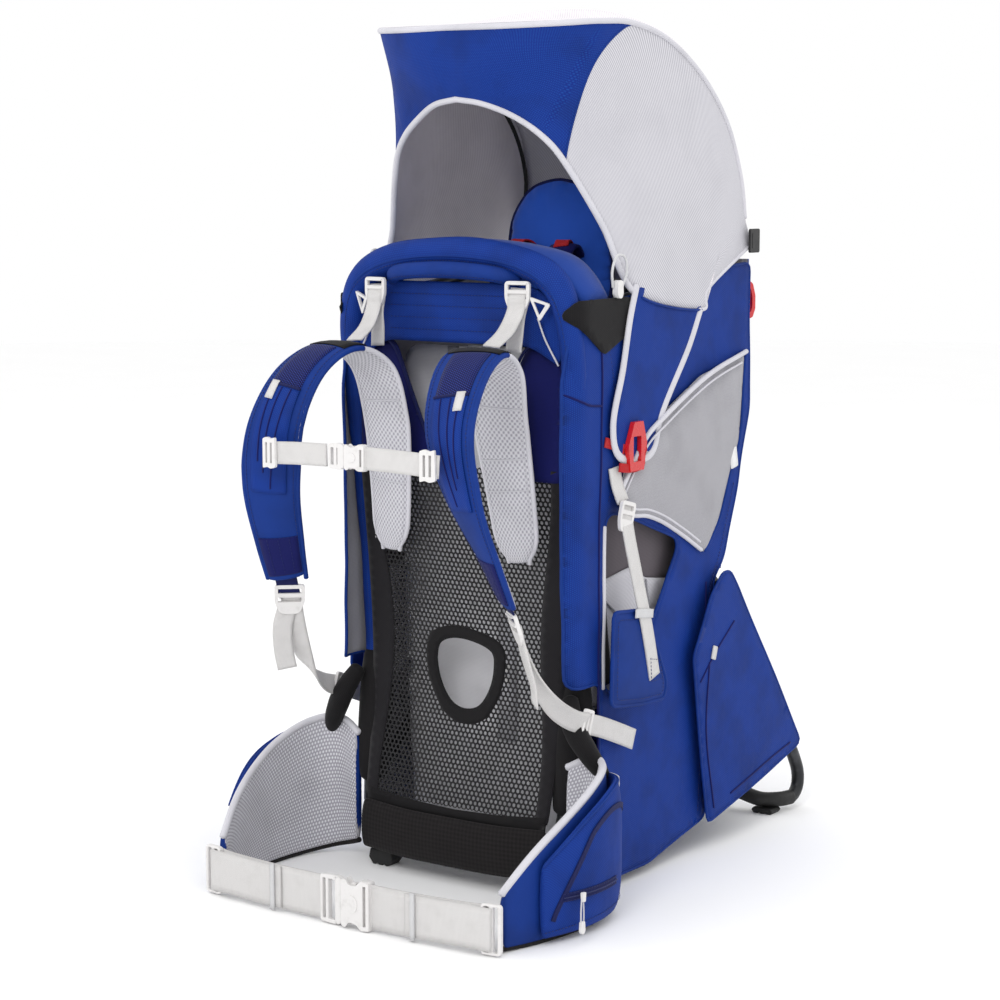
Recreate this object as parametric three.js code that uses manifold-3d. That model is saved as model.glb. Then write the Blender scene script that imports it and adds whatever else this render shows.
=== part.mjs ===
// Child carrier backpack: a bent aluminium frame with a fold-out kickstand, a child cockpit,
// a padded shoulder harness and hip belt for the wearer, and a hooded sunshade.
// Millimetres, +Z up. The wearer stands on the -Y side and the child sits behind the frame, on +Y.
// The shapes are drawn with Y = 0 at the foot of the front frame, and the whole group is then
// moved by CENTRE_Y so that the origin is under the middle of the outline, on the ground.
import * as THREE from "three";
import { mergeVertices } from "three/addons/utils/BufferGeometryUtils.js";
import Module from "manifold-3d";

const wasm = await Module();
wasm.setup();

// ---------- driving dimensions ----------
const CENTRE_Y = 144;
const GAP = 0.5; // between pieces that touch
const FRAME_R = 8; // front frame tube
const HOOP_R = 7; // side hoop tube
const HOOP_X = 146; // centre plane of a side hoop
const STAND_R = 8; // kickstand tube
const STAND_X = 163; // centre plane of a kickstand leg
const HINGE_Y = 300;
const HINGE_Z = 305;
const PIN_R = 4;
const PIN_CLEARANCE = 0.5;
const SIDE_X = 160; // inner face of a side panel
const SIDE_T = 3;
const POCKET_X = SIDE_X + SIDE_T + GAP;
const TAIL_X = 168;
const GUSSET_X = 173;
const CLOTH_T = 2;
const BELT_W = 48; // hip belt webbing
const WEB_W = 24; // harness webbing
const WEB_T = 2;
const BELT_Z = 29; // centre height of the hip belt webbing
const SHADE_PIVOT_Y = 346;
const SHADE_PIVOT_Z = 716;
const PLUG_WALL = 1.6;
const SLOT_T = 5; // thickness of the slot that webbing runs in

// ---------- materials ----------
const paint = (color, roughness, metalness = 0) =>
  new THREE.MeshStandardMaterial({ color, roughness, metalness });
const blueCloth = paint(0x2440b0, 0.8);
const greyMesh = paint(0xb9b8bf, 0.85);
const paleWeb = paint(0xdcdcdc, 0.7);
const palePlastic = paint(0xe4e4e4, 0.45);
const blackCloth = paint(0x1c1b1d, 0.85);
const blackTube = paint(0x2b2c2e, 0.5, 0.6);
const rubber = paint(0x151515, 0.8);
const redPlastic = paint(0xd8322a, 0.4);

// ---------- geometry helpers ----------
const vec = (p) => new THREE.Vector3(...p);
const spline = (points, closed = false) =>
  new THREE.CatmullRomCurve3(points.map(vec), closed, "centripetal");
const mirrorX = ([x, y, z]) => [-x, y, z];
// Points of a right-hand half, from the middle plane outwards, turned into a whole symmetrical line.
const bothSides = (half) => [...half.slice(1).reverse().map(mirrorX), ...half];

function signedVolume(geometry) {
  const p = geometry.getAttribute("position");
  const index = geometry.getIndex();
  const a = new THREE.Vector3();
  const b = new THREE.Vector3();
  const c = new THREE.Vector3();
  let sum = 0;
  for (let i = 0; i < index.count; i += 3) {
    a.fromBufferAttribute(p, index.getX(i));
    b.fromBufferAttribute(p, index.getX(i + 1));
    c.fromBufferAttribute(p, index.getX(i + 2));
    sum += a.dot(b.cross(c));
  }
  return sum / 6;
}

// Keeps positions only, merges shared vertices and makes the faces point out.
function closed(geometry) {
  geometry.deleteAttribute("normal");
  geometry.deleteAttribute("uv");
  const merged = mergeVertices(geometry, 1e-3);
  if (signedVolume(merged) < 0) {
    const order = merged.getIndex().array;
    for (let i = 0; i < order.length; i += 3)
      [order[i + 1], order[i + 2]] = [order[i + 2], order[i + 1]];
  }
  return merged;
}

function fromTriangles(points, faces) {
  const geometry = new THREE.BufferGeometry();
  geometry.setAttribute("position", new THREE.Float32BufferAttribute(points.flat(), 3));
  geometry.setIndex(faces.flat());
  return closed(geometry);
}

// A skin over rings of points, each ring a closed loop of equal length, with flat lids at both ends.
function loft(rings) {
  const n = rings[0].length;
  const points = rings.flat();
  const faces = [];
  for (let i = 0; i + 1 < rings.length; i++)
    for (let j = 0; j < n; j++) {
      const k = (j + 1) % n;
      faces.push([i * n + j, i * n + k, (i + 1) * n + k], [i * n + j, (i + 1) * n + k, (i + 1) * n + j]);
    }
  const last = (rings.length - 1) * n;
  for (let j = 1; j + 1 < n; j++) faces.push([0, j + 1, j], [last, last + j, last + j + 1]);
  return fromTriangles(points, faces);
}

// A sheet of cloth: a grid of points given an even thickness across its own surface.
function sheet(grid, thickness = CLOTH_T) {
  const rows = grid.length;
  const cols = grid[0].length;
  const at = (i, j) =>
    vec(grid[Math.min(Math.max(i, 0), rows - 1)][Math.min(Math.max(j, 0), cols - 1)]);
  const sides = [-0.5, 0.5].map((share) =>
    grid.map((row, i) =>
      row.map((_, j) => {
        const along = at(i + 1, j).sub(at(i - 1, j));
        const across = at(i, j + 1).sub(at(i, j - 1));
        const normal = along.cross(across).normalize();
        return at(i, j).addScaledVector(normal, share * thickness).toArray();
      }),
    ),
  );
  const points = sides.flat(2);
  const id = (s, i, j) => s * rows * cols + i * cols + j;
  const faces = [];
  const quad = (a, b, c, d) => faces.push([a, b, c], [a, c, d]);
  for (let i = 0; i + 1 < rows; i++)
    for (let j = 0; j + 1 < cols; j++) {
      quad(id(0, i, j), id(0, i + 1, j), id(0, i + 1, j + 1), id(0, i, j + 1));
      quad(id(1, i, j), id(1, i, j + 1), id(1, i + 1, j + 1), id(1, i + 1, j));
    }
  for (let i = 0; i + 1 < rows; i++) {
    quad(id(0, i, 0), id(1, i, 0), id(1, i + 1, 0), id(0, i + 1, 0));
    quad(id(0, i, cols - 1), id(0, i + 1, cols - 1), id(1, i + 1, cols - 1), id(1, i, cols - 1));
  }
  for (let j = 0; j + 1 < cols; j++) {
    quad(id(0, 0, j), id(0, 0, j + 1), id(1, 0, j + 1), id(1, 0, j));
    quad(id(0, rows - 1, j), id(1, rows - 1, j), id(1, rows - 1, j + 1), id(0, rows - 1, j + 1));
  }
  return fromTriangles(points, faces);
}

// Rows of points evenly spaced between two lines that have the same number of points.
const between = (top, bottom, steps) =>
  Array.from({ length: steps + 1 }, (_, i) =>
    top.map((p, j) => p.map((value, k) => value + ((bottom[j][k] - value) * i) / steps)),
  );

function flat(outline, depth) {
  const shape = new THREE.Shape(outline.map((p) => new THREE.Vector2(...p)));
  return new THREE.ExtrudeGeometry(shape, { depth, bevelEnabled: false });
}

// A plate whose outline is drawn in (y, z), from x = low to x = high.
function plateX(outline, low, high) {
  const order = new THREE.Matrix4().set(0, 0, 1, low, 1, 0, 0, 0, 0, 1, 0, 0, 0, 0, 0, 1);
  return closed(flat(outline, high - low).applyMatrix4(order));
}

// A plate whose outline is drawn in (x, z), from y = low to y = high.
function plateY(outline, low, high) {
  const order = new THREE.Matrix4().set(1, 0, 0, 0, 0, 0, 1, low, 0, 1, 0, 0, 0, 0, 0, 1);
  return closed(flat(outline, high - low).applyMatrix4(order));
}

const ellipse = (cx, cy, rx, ry, sides) =>
  Array.from({ length: sides }, (_, i) => {
    const a = (2 * Math.PI * i) / sides;
    return [cx + rx * Math.cos(a), cy + ry * Math.sin(a)];
  });

function tube(points, radius, steps, sides = 8) {
  const shape = new THREE.Shape(ellipse(0, 0, radius, radius, sides).map((p) => new THREE.Vector2(...p)));
  return closed(new THREE.ExtrudeGeometry(shape, { steps, extrudePath: spline(points) }));
}

const ringTube = (points, radius, steps, sides = 8) =>
  closed(new THREE.TubeGeometry(spline(points, true), steps, radius, sides, true));

function box(x0, x1, y0, y1, z0, z1) {
  const geometry = new THREE.BoxGeometry(x1 - x0, y1 - y0, z1 - z0);
  geometry.translate((x0 + x1) / 2, (y0 + y1) / 2, (z0 + z1) / 2);
  return closed(geometry);
}

function rodX(x0, x1, y, z, radius, sides = 16) {
  const geometry = new THREE.CylinderGeometry(radius, radius, x1 - x0, sides);
  geometry.rotateZ(Math.PI / 2).translate((x0 + x1) / 2, y, z);
  return closed(geometry);
}

const toSolid = (geometry) =>
  new wasm.Manifold(
    new wasm.Mesh({
      numProp: 3,
      vertProperties: geometry.getAttribute("position").array,
      triVerts: new Uint32Array(geometry.getIndex().array),
    }),
  );

function fromSolid(solid) {
  const made = solid.getMesh();
  const points = [];
  for (let i = 0; i < made.numVert; i++)
    points.push(Array.from(made.vertProperties.subarray(i * made.numProp, i * made.numProp + 3)));
  const faces = [];
  for (let i = 0; i < made.triVerts.length; i += 3) faces.push(Array.from(made.triVerts.subarray(i, i + 3)));
  return fromTriangles(points, faces);
}

const join = (first, ...others) =>
  fromSolid(others.reduce((sum, g) => sum.add(toSolid(g)), toSolid(first)));
const cut = (first, ...others) =>
  fromSolid(others.reduce((left, g) => left.subtract(toSolid(g)), toSolid(first)));

// A flat band along a line: at each point it has a width across and a thickness, with bevelled edges.
// across(t) and width(t) describe it from one end, t = 0, to the other, t = 1.
function band(points, steps, across, width, thickness) {
  const line = spline(points);
  const rings = [];
  for (let i = 0; i <= steps; i++) {
    const t = i / steps;
    const centre = line.getPoint(t);
    const along = line.getTangent(t);
    const side = vec(across(t));
    side.addScaledVector(along, -side.dot(along)).normalize();
    const up = new THREE.Vector3().crossVectors(along, side);
    const w = width(t) / 2;
    const h = thickness / 2;
    const bevel = Math.min(h * 0.6, w * 0.3);
    const section = [[-w, -h + bevel], [-w + bevel, -h], [w - bevel, -h], [w, -h + bevel]];
    const ring = [...section, ...section.map(([a, b]) => [-a, -b])];
    rings.push(ring.map(([a, b]) => centre.clone().addScaledVector(side, a).addScaledVector(up, b).toArray()));
  }
  return loft(rings);
}

const steady = (value) => () => value;
const blendOf = (a, b) => (t) => (Array.isArray(a) ? a.map((v, i) => v + (b[i] - v) * t) : a + (b - a) * t);

const carrier = new THREE.Group();
function add(name, geometry, material) {
  const piece = new THREE.Mesh(geometry, material);
  piece.name = name;
  carrier.add(piece);
}

// Adds a right-hand piece and its mirror image.
function addPair(name, geometry, material) {
  add(`${name}_right`, geometry, material);
  add(`${name}_left`, closed(geometry.clone().applyMatrix4(new THREE.Matrix4().makeScale(-1, 1, 1))), material);
}

// ---------- frame ----------
// Right half of the front frame, from the middle of the base bar up to the middle of the top bar.
const FRONT_HALF = [
  [0, -2, 27], [90, -2, 27], [122, 0, 36], [134, 8, 90], [138, 22, 190], [141, 26, 290],
  [145, 18, 420], [149, 4, 550], [148, -4, 625], [133, -7, 674], [96, -8, 697], [0, -9, 709],
];
function perimeterFrame() {
  const loop = [...FRONT_HALF, ...FRONT_HALF.slice(1, -1).reverse().map(mirrorX)];
  add("perimeter_frame", ringTube(loop, FRAME_R, 72, 8), blackTube);
}

// Each side of the hoop runs back along the cockpit rim, down the back and forward to the foot
// of the frame. A cross bar joins the two sides at the top of the back.
function cockpitHoop() {
  const path = [
    [148, 14, 632], [HOOP_X, 60, 646], [HOOP_X, 180, 668], [HOOP_X, 300, 686], [HOOP_X, 336, 676],
    [HOOP_X, 346, 640], [HOOP_X, 346, 540], [HOOP_X, 324, 430], [HOOP_X, 290, 322], [HOOP_X, 262, 280],
    [HOOP_X, 180, 214], [144, 70, 124], [137, 26, 96],
  ];
  const hoop = (side) => tube(path.map(([x, y, z]) => [side * x, y, z]), HOOP_R, 40, 8);
  add("cockpit_hoop", join(hoop(1), hoop(-1), rodX(-HOOP_X, HOOP_X, 344, 652, 6, 8)), blackTube);
}

// A plate outside each hoop with the pin that the kickstand turns on.
function hingeBrackets() {
  const inner = HOOP_X + HOOP_R + GAP;
  const plate = plateX(
    [[270, 314], [278, 328], [294, 328], [311, 314], [312, 300], [302, 292], [286, 292]],
    inner, inner + 1,
  );
  const pin = rodX(inner, GUSSET_X - GAP, HINGE_Y, HINGE_Z, PIN_R);
  addPair("hinge_bracket", join(plate, pin), blackTube);
}

// A rubber foot clipped under each lower corner of the front frame.
function frontFeet() {
  const outline = [[96, 0], [118, 0], [124, 8], [122, 18.5], [92, 18.5], [90, 8]];
  addPair("front_foot", plateY(outline, -13, 9), rubber);
}

// ---------- kickstand ----------
function kickstand() {
  const half = [
    [0, 434, 48], [60, 436, 38], [110, 440, 25], [140, 446, 17], [158, 462, 16], [STAND_X, 484, 15],
    [STAND_X, 499, 25], [STAND_X, 501, 42], [STAND_X, 488, 68], [STAND_X, 465, 98],
    [STAND_X, 385, 199], [STAND_X, 293, 313.5],
  ];
  const bore = (side) =>
    rodX(side * STAND_X - 2 * STAND_R, side * STAND_X + 2 * STAND_R, HINGE_Y, HINGE_Z, PIN_R + PIN_CLEARANCE);
  add("kickstand_tube", cut(tube(bothSides(half), STAND_R, 56, 8), bore(1), bore(-1)), blackTube);

  // The back cloth of the lower compartment, which tapers to the middle of the kickstand bar.
  const top = [[-146, 305, 283], [0, 305, 283], [146, 305, 283]];
  const low = [[-52, 424, 60], [0, 420, 64], [52, 424, 60]];
  const mid = [[-146, 430, 122], [0, 426, 122], [146, 430, 122]];
  add("kickstand_panel", sheet([...between(top, mid, 2), low], 3), blueCloth);

  const gusset = [[300, 318], [318, 306], [486, 90], [478, 84], [256, 34], [228, 246], [270, 300]];
  addPair("gusset", plateX(gusset, GUSSET_X, GUSSET_X + CLOTH_T), blueCloth);

  const foot = [[134, 0], [158, 0], [161, 4], [158, 7], [134, 7.5], [131, 4]];
  addPair("kickstand_foot", plateY(foot, 438, 462), rubber);
}

// ---------- child cockpit ----------
function cockpit() {
  const outline = [
    [-18, 240], [-20, 400], [-22, 560], [-12, 628], [30, 652], [109, 662], [220, 672], [320, 688],
    [361, 690], [361, 520], [338, 430], [306, 345], [284, 322], [284, 296], [256, 40], [142, 12],
    [44, 12], [36, 40], [36, 240],
  ];
  const legHole = [[44, 224], [44, 424], [76, 424], [206, 378], [152, 300], [96, 224]];
  const side = plateX(outline, SIDE_X, SIDE_X + SIDE_T);
  addPair("side_panel", cut(side, plateX(legHole, SIDE_X - 1, SIDE_X + SIDE_T + 1)), blueCloth);

  const rearLine = [[362, 696], [362, 520], [339, 430], [307, 346], [302, 331]];
  const rear = [...rearLine, ...rearLine.map(([y, z]) => [y + 5, z]).reverse()];
  add("rear_panel", plateX(rear, -158, 158), blueCloth);

  add("cockpit_front_panel", plateY(
    [[-112, 96], [112, 96], [126, 300], [130, 560], [118, 600], [-118, 600], [-130, 560], [-126, 300]],
    62, 66,
  ), greyMesh);

  const head = [[-66, 588], [66, 588], [74, 690], [66, 745], [40, 779], [0, 789], [-40, 779], [-66, 745], [-74, 690]];
  add("head_support", plateY(head, 186, 208), blueCloth);

  const pad = (x) => [[x, 4, 672], [x, 2, 686], [x, 24, 704], [x, 62, 700], [x, 78, 684], [x, 76, 672], [x, 40, 682]];
  add("drool_pad", loft([-126, -70, 0, 70, 126].map(pad)), blueCloth);

  // The bag's back slopes in below, to leave room for the folded kickstand.
  const bag = [[76, 24], [226, 24], [248, 60], [277, 100], [279, 220], [250, 236], [90, 236]];
  add("storage_bag", plateX(bag, -132, 132), blueCloth);

  const pocket = [
    [164, 517], [337, 585], [318, 500], [300, 437], [263, 340], [190, 372], [113, 383], [70, 439],
  ];
  addPair("mesh_pocket", plateX(pocket, POCKET_X, POCKET_X + 1.8), greyMesh);
}

// The saddle that the child sits on, with its raised back.
function childSeat() {
  const profile = [[88, 268], [208, 258], [236, 274], [226, 580], [214, 580], [220, 300], [200, 286], [92, 294]];
  add("child_seat", plateX(profile, -78, 78), greyMesh);
}

// ---------- foot stirrups ----------
function stirrups() {
  const cloth = [[30, 204], [134, 204], [118, 290], [94, 340], [36, 340]];
  addPair("stirrup", plateX(cloth, TAIL_X + 2, TAIL_X + 8), blueCloth);
}

// ---------- wearer's back ----------
function backPanel() {
  // The suspended mesh follows the front frame and has an oval window to the yoke adjuster.
  const half = [[122, -12, 84], [127, 8, 190], [130, 12, 290], [134, 4, 420], [134, -10, 540], [120, -16, 590]];
  const rows = half.map(([w, y, z]) => [-1, -0.6, -0.2, 0.2, 0.6, 1].map((s) => [s * w, y - 4 * (1 - s * s), z]));
  const window = plateY(ellipse(0, 232, 33, 38, 14), -60, 60);
  add("back_mesh", cut(sheet(rows, 2.4), window), blackCloth);

  add("lumbar_band", band(
    [[-128, -16, 50], [-64, -24, 48], [0, -26, 48], [64, -24, 48], [128, -16, 50]],
    6, steady([0, 0, 1]), steady(58), 14,
  ), blackCloth);

  const panel = [[-134, 622], [-92, 610], [92, 610], [134, 622], [128, 652], [92, 670], [-92, 670], [-128, 652]];
  add("upper_back_panel", plateY(panel, -4, 0), blueCloth);
  const bar = [[-84, -10, 679], [-71, -23, 685], [0, -28, 690], [71, -23, 685], [84, -10, 679]];
  add("grab_handle", tube(bar, 8, 12, 8), blueCloth);
}

// ---------- shoulder harness ----------
function harness() {
  // The pad starts low on the back, rises over the shoulder and comes down in front of the arm.
  const pad = [
    [88, -12, 372], [82, -21, 450], [78, -35, 530], [84, -53, 585], [94, -96, 606], [105, -146, 584],
    [115, -178, 530], [129, -172, 460], [143, -142, 390], [150, -122, 348],
  ];
  const across = (t) => (t < 0.5 ? [1, 0.1, 0] : blendOf([1, 0.1, 0], [0.75, -0.66, 0])((t - 0.5) * 2));
  const width = (t) => (t < 0.25 ? 48 + 64 * t : t < 0.75 ? 64 : 64 - 88 * (t - 0.75));
  addPair("shoulder_strap", band(pad, 26, across, width, 12), blueCloth);

  addPair("lifter_buckle", cut(
    plateY([[85, 648], [107, 648], [111, 664], [107, 679], [85, 679], [81, 664]], -31, -24),
    box(86, 106, -40, -20, 653, 657), box(86, 106, -40, -20, 670, 674),
  ), palePlastic);

  // A ladder buckle at the end of each pad, and the webbing from it to the foot of the frame.
  const lock = band([[151, -120, 341], [154, -113, 320], [155.5, -107, 306]], 3, steady([0.75, -0.66, 0]), steady(32), 6);
  addPair("shoulder_buckle", lock, palePlastic);
  const web = [[156, -105, 302], [162, -82, 262], [170, -50, 222], [172, -20, 196], [170, 6, 188]];
  addPair("shoulder_web", band(web, 8, blendOf([0.75, -0.66, 0], [0.3, 0, 0.95]), steady(WEB_W), WEB_T), paleWeb);
}

// Straps across the chest that meet in a side-release buckle. Each half lies a little ahead of the pads.
function sternumStrap() {
  const y = -200;
  const z = 502;
  const right = [[106, y + 4, z - 2], [70, y - 4, z - 1], [29.5, y - 5, z]];
  addPair("sternum_web", band(right, 5, steady([0, 0, 1]), steady(WEB_W), WEB_T), paleWeb);
  add("sternum_socket", socketOf(2, 28, y - 5, z, 28, 9, 3), palePlastic);
  add("sternum_plug", plugOf(2, 28, y - 5, z, 28, 9, 3), palePlastic);
}

// A buckle socket is a box with a mouth on its -X side; x0 is the mouth and x1 the webbing end.
function socketOf(x0, x1, y, z, height, depth, wall) {
  const body = box(x0, x1, y - depth / 2, y + depth / 2, z - height / 2, z + height / 2);
  const mouth = box(
    x0 - 1, x1 - 2 * wall, y - depth / 2 + wall - 0.4, y + depth / 2 - wall + 0.4,
    z - height / 2 + wall, z + height / 2 - wall,
  );
  return cut(body, mouth);
}

// The plug has a hollow shoulder outside the mouth, which its webbing slides into, and two prongs
// inside the mouth.
function plugOf(mouthX, length, y, z, height, depth, wall) {
  const reach = length - 3 * wall - 1;
  const inner = height / 2 - wall - 1;
  const thick = depth - 2 * wall - 0.6;
  const back = mouthX - length * 0.8;
  const shoulder = cut(
    box(back, mouthX - 1, y - depth / 2, y + depth / 2, z - height / 2, z + height / 2),
    box(
      back - 1, mouthX - 4.5, y - SLOT_T / 2, y + SLOT_T / 2,
      z - height / 2 + PLUG_WALL, z + height / 2 - PLUG_WALL,
    ),
  );
  const prong = (side) =>
    box(
      mouthX - 2, mouthX + reach - 8, y - thick / 2, y + thick / 2,
      Math.min(side * inner, side * (inner - 6)) + z, Math.max(side * inner, side * (inner - 6)) + z,
    );
  return join(shoulder, prong(1), prong(-1));
}

// ---------- hip belt ----------
// Plan of a wing, from its root at the lumbar band to its tip, with its lower and upper edges.
const WING = [
  { x: 146, y: -8, low: 22, high: 150 }, { x: 176, y: -4, low: 12, high: 164 },
  { x: 198, y: -24, low: 5, high: 160 }, { x: 207, y: -62, low: 3, high: 146 },
  { x: 206, y: -104, low: 3, high: 126 }, { x: 197, y: -150, low: 3, high: 98 },
  { x: 184, y: -190, low: 4, high: 62 },
];
const WING_T = 11;
function wingNormal(i) {
  const a = WING[Math.max(i - 1, 0)];
  const b = WING[Math.min(i + 1, WING.length - 1)];
  const n = new THREE.Vector2(-(b.y - a.y), b.x - a.x).normalize();
  return [n.x, n.y];
}
// A ring round the wing at one station, between two distances outwards from the plan line.
function wingRing(i, inside, outside, low, high) {
  const { x, y } = WING[i];
  const [nx, ny] = wingNormal(i);
  const at = (d, z) => [x + nx * d, y + ny * d, z];
  const round = Math.min(4, (outside - inside) / 3);
  return [
    at(inside, low + round), at(inside + round, low), at(outside - round, low), at(outside, low + round),
    at(outside, high - round), at(outside - round, high), at(inside + round, high), at(inside, high - round),
  ];
}
function hipBelt() {
  addPair("hip_wing", loft(WING.map((s, i) => wingRing(i, 0, WING_T, s.low, s.high))), greyMesh);
  const share = [0.25, 0.8, 1, 0.9, 0.45];
  const pocket = share.map((s, k) => {
    const i = k + 1;
    const { low, high } = WING[i];
    return wingRing(i, WING_T + GAP, WING_T + 4 + 16 * s, low + 4, high - 14 + 10 * s * s);
  });
  addPair("hip_pocket", loft(pocket), blueCloth);

  const y = -206;
  addPair("hip_slider", cut(
    box(176, 200, y - 4, y + 4, BELT_Z - 27, BELT_Z + 27),
    box(180, 196, y - 10, y + 10, BELT_Z - 24.5, BELT_Z + 24.5),
  ), palePlastic);
  const web = [[175, y, BELT_Z], [130, y - 4, BELT_Z - 1], [80, y - 8, BELT_Z - 1], [40, y - 9, BELT_Z - 1]];
  addPair("hip_web", band(web, 8, steady([0, 0, 1]), steady(BELT_W), WEB_T), paleWeb);
  add("hip_socket", socketOf(2, 39, y - 9, BELT_Z - 1, 54, 12, 3.5), palePlastic);
  add("hip_plug", plugOf(2, 39, y - 9, BELT_Z - 1, 54, 12, 3.5), palePlastic);
}

// ---------- sunshade ----------
// Right-hand halves of its top edge and of its lower edge, from the rear to the middle of the front.
const SHADE_TOP_SIDE = [[158, 352, 742], [153, 350, 790], [150, 322, 852], [150, 264, 904], [150, 190, 941], [150, 115, 956]];
const SHADE_LOW_SIDE = [[168, 352, 712], [168, 252, 664], [168, 236, 634], [167, 112, 662], [143, 68, 738], [114, 35, 806]];
const SHADE_TOP_FRONT = [[150, 115, 956], [143, 62, 956], [120, 15, 952], [62, -20, 949], [0, -29, 949]];
const SHADE_LOW_FRONT = [[114, 35, 806], [92, 22, 835], [62, 11, 856], [31, -2, 869], [0, -7, 874]];
const wholeLine = (half) => [...half, ...half.slice(0, -1).reverse().map(mirrorX)];
function sunshade() {
  // Each side ends below in a tail that reaches down over the leg opening to a hook.
  const tail = [[234, 644], [112, 670], [98, 620], [55, 517], [66, 488], [87, 478], [112, 488], [140, 521]];
  const side = sheet(between(SHADE_TOP_SIDE, SHADE_LOW_SIDE, 4));
  addPair("sunshade_side", join(side, plateX(tail, TAIL_X - 1, TAIL_X + 1)), greyMesh);
  const inset = (line) => line.map(([x, y, z]) => [x, y - (x > 140 ? 3 : 0.6), z]);
  const front = between(wholeLine(inset(SHADE_TOP_FRONT)), wholeLine(inset(SHADE_LOW_FRONT)), 4);
  add("sunshade_visor", sheet(front), blueCloth);

  // The crowned top, which comes down behind as the back. Each row crosses from side to side.
  const crown = [4, 30, 100, 72, 36, 6, 0, 0];
  const bulge = [4, 22, 24, 8, 0, 0, -2, -3];
  const edge = [...SHADE_TOP_SIDE, ...SHADE_TOP_FRONT.slice(1, 3)];
  const rows = edge.map(([x, y, z], i) =>
    [-1, -0.66, -0.33, 0, 0.33, 0.66, 1].map((s) => [
      s * (x - 3), y + bulge[i] * (1 - s * s) + (i < 2 ? 3 : 0), z + 3.4 + crown[i] * (1 - s * s),
    ]),
  );
  add("sunshade_top", sheet(rows), greyMesh);

  // The sprung rod that holds the hood open, just inside its top edge.
  const rod = bothSides([
    [0, -14, 942], [58, -8, 942], [108, 22, 943], [134, 62, 946], [141, 118, 946], [141, 186, 931],
    [141, 256, 894], [141, 311, 842], [144, 338, 788], [150, SHADE_PIVOT_Y - 4, 740], [152, SHADE_PIVOT_Y, SHADE_PIVOT_Z],
  ]);
  add("sunshade_rod", tube(rod, 2.5, 48, 6), rubber);

  addPair("sunshade_hook", cut(
    plateX([[76, 470], [104, 470], [110, 500], [102, 524], [84, 524], [72, 498]], TAIL_X + 1 + GAP, TAIL_X + 7),
    box(TAIL_X, TAIL_X + 20, 82, 98, 480, 508),
  ), redPlastic);
}

// ---------- zip pulls ----------
function zipPulls() {
  const pull = plateX([[-124, 40], [-116, 40], [-114, 18], [-120, 8], [-126, 18]], 238, 241);
  addPair("hip_zip_pull", pull, palePlastic);
}

perimeterFrame();
cockpitHoop();
hingeBrackets();
frontFeet();
kickstand();
cockpit();
childSeat();
stirrups();
backPanel();
harness();
sternumStrap();
hipBelt();
sunshade();
zipPulls();
carrier.position.set(0, -CENTRE_Y, 0);

export default carrier;
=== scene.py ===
"""A child carrier backpack on a pale studio floor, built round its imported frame.

Shapes are drawn in millimetres with Y = 0 at the foot of the front frame, and at() moves them into
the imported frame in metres. The wearer's side is -Y and the child's side is +Y.
"""

import math

import bmesh
import bpy
import numpy as np
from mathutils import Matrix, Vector, noise
from mathutils.geometry import delaunay_2d_cdt


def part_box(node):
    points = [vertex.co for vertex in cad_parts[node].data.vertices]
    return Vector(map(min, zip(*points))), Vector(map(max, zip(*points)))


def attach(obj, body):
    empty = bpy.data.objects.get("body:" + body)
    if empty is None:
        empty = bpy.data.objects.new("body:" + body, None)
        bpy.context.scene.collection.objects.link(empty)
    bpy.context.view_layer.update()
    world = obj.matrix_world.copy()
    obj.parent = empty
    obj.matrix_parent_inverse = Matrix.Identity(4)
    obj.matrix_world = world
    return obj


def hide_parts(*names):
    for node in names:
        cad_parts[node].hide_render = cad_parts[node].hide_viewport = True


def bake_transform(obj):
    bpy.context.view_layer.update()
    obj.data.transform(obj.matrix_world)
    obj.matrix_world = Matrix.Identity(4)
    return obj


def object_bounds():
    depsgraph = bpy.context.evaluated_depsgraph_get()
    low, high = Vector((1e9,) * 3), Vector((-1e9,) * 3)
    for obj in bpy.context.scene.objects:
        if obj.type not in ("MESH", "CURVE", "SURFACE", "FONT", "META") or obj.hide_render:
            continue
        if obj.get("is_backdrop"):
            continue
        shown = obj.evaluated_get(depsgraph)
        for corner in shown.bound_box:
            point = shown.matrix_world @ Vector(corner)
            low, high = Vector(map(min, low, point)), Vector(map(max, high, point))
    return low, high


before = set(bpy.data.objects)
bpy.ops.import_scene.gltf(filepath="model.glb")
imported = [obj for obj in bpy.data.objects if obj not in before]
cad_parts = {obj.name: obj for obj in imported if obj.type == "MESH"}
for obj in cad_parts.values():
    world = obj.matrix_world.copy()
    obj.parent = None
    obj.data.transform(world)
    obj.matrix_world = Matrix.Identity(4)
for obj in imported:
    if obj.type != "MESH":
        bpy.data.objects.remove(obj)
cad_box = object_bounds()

FOOT_LOW, FOOT_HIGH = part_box("front_foot_right")
ORIGIN_Y = (FOOT_LOW.y + FOOT_HIGH.y) / 2 + 0.002  # where the drawings have Y = 0
MM = 0.001
HANDS = ((1, "right"), (-1, "left"))  # the sign of X on each side, and its name


# ---- drawing helpers


def at(points):
    """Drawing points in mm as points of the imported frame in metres."""
    p = np.array(points, float) * MM
    p[..., 1] += ORIGIN_Y
    return p


def mirrored(points):
    return np.array(points, float) * [-1, 1, 1]


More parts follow.
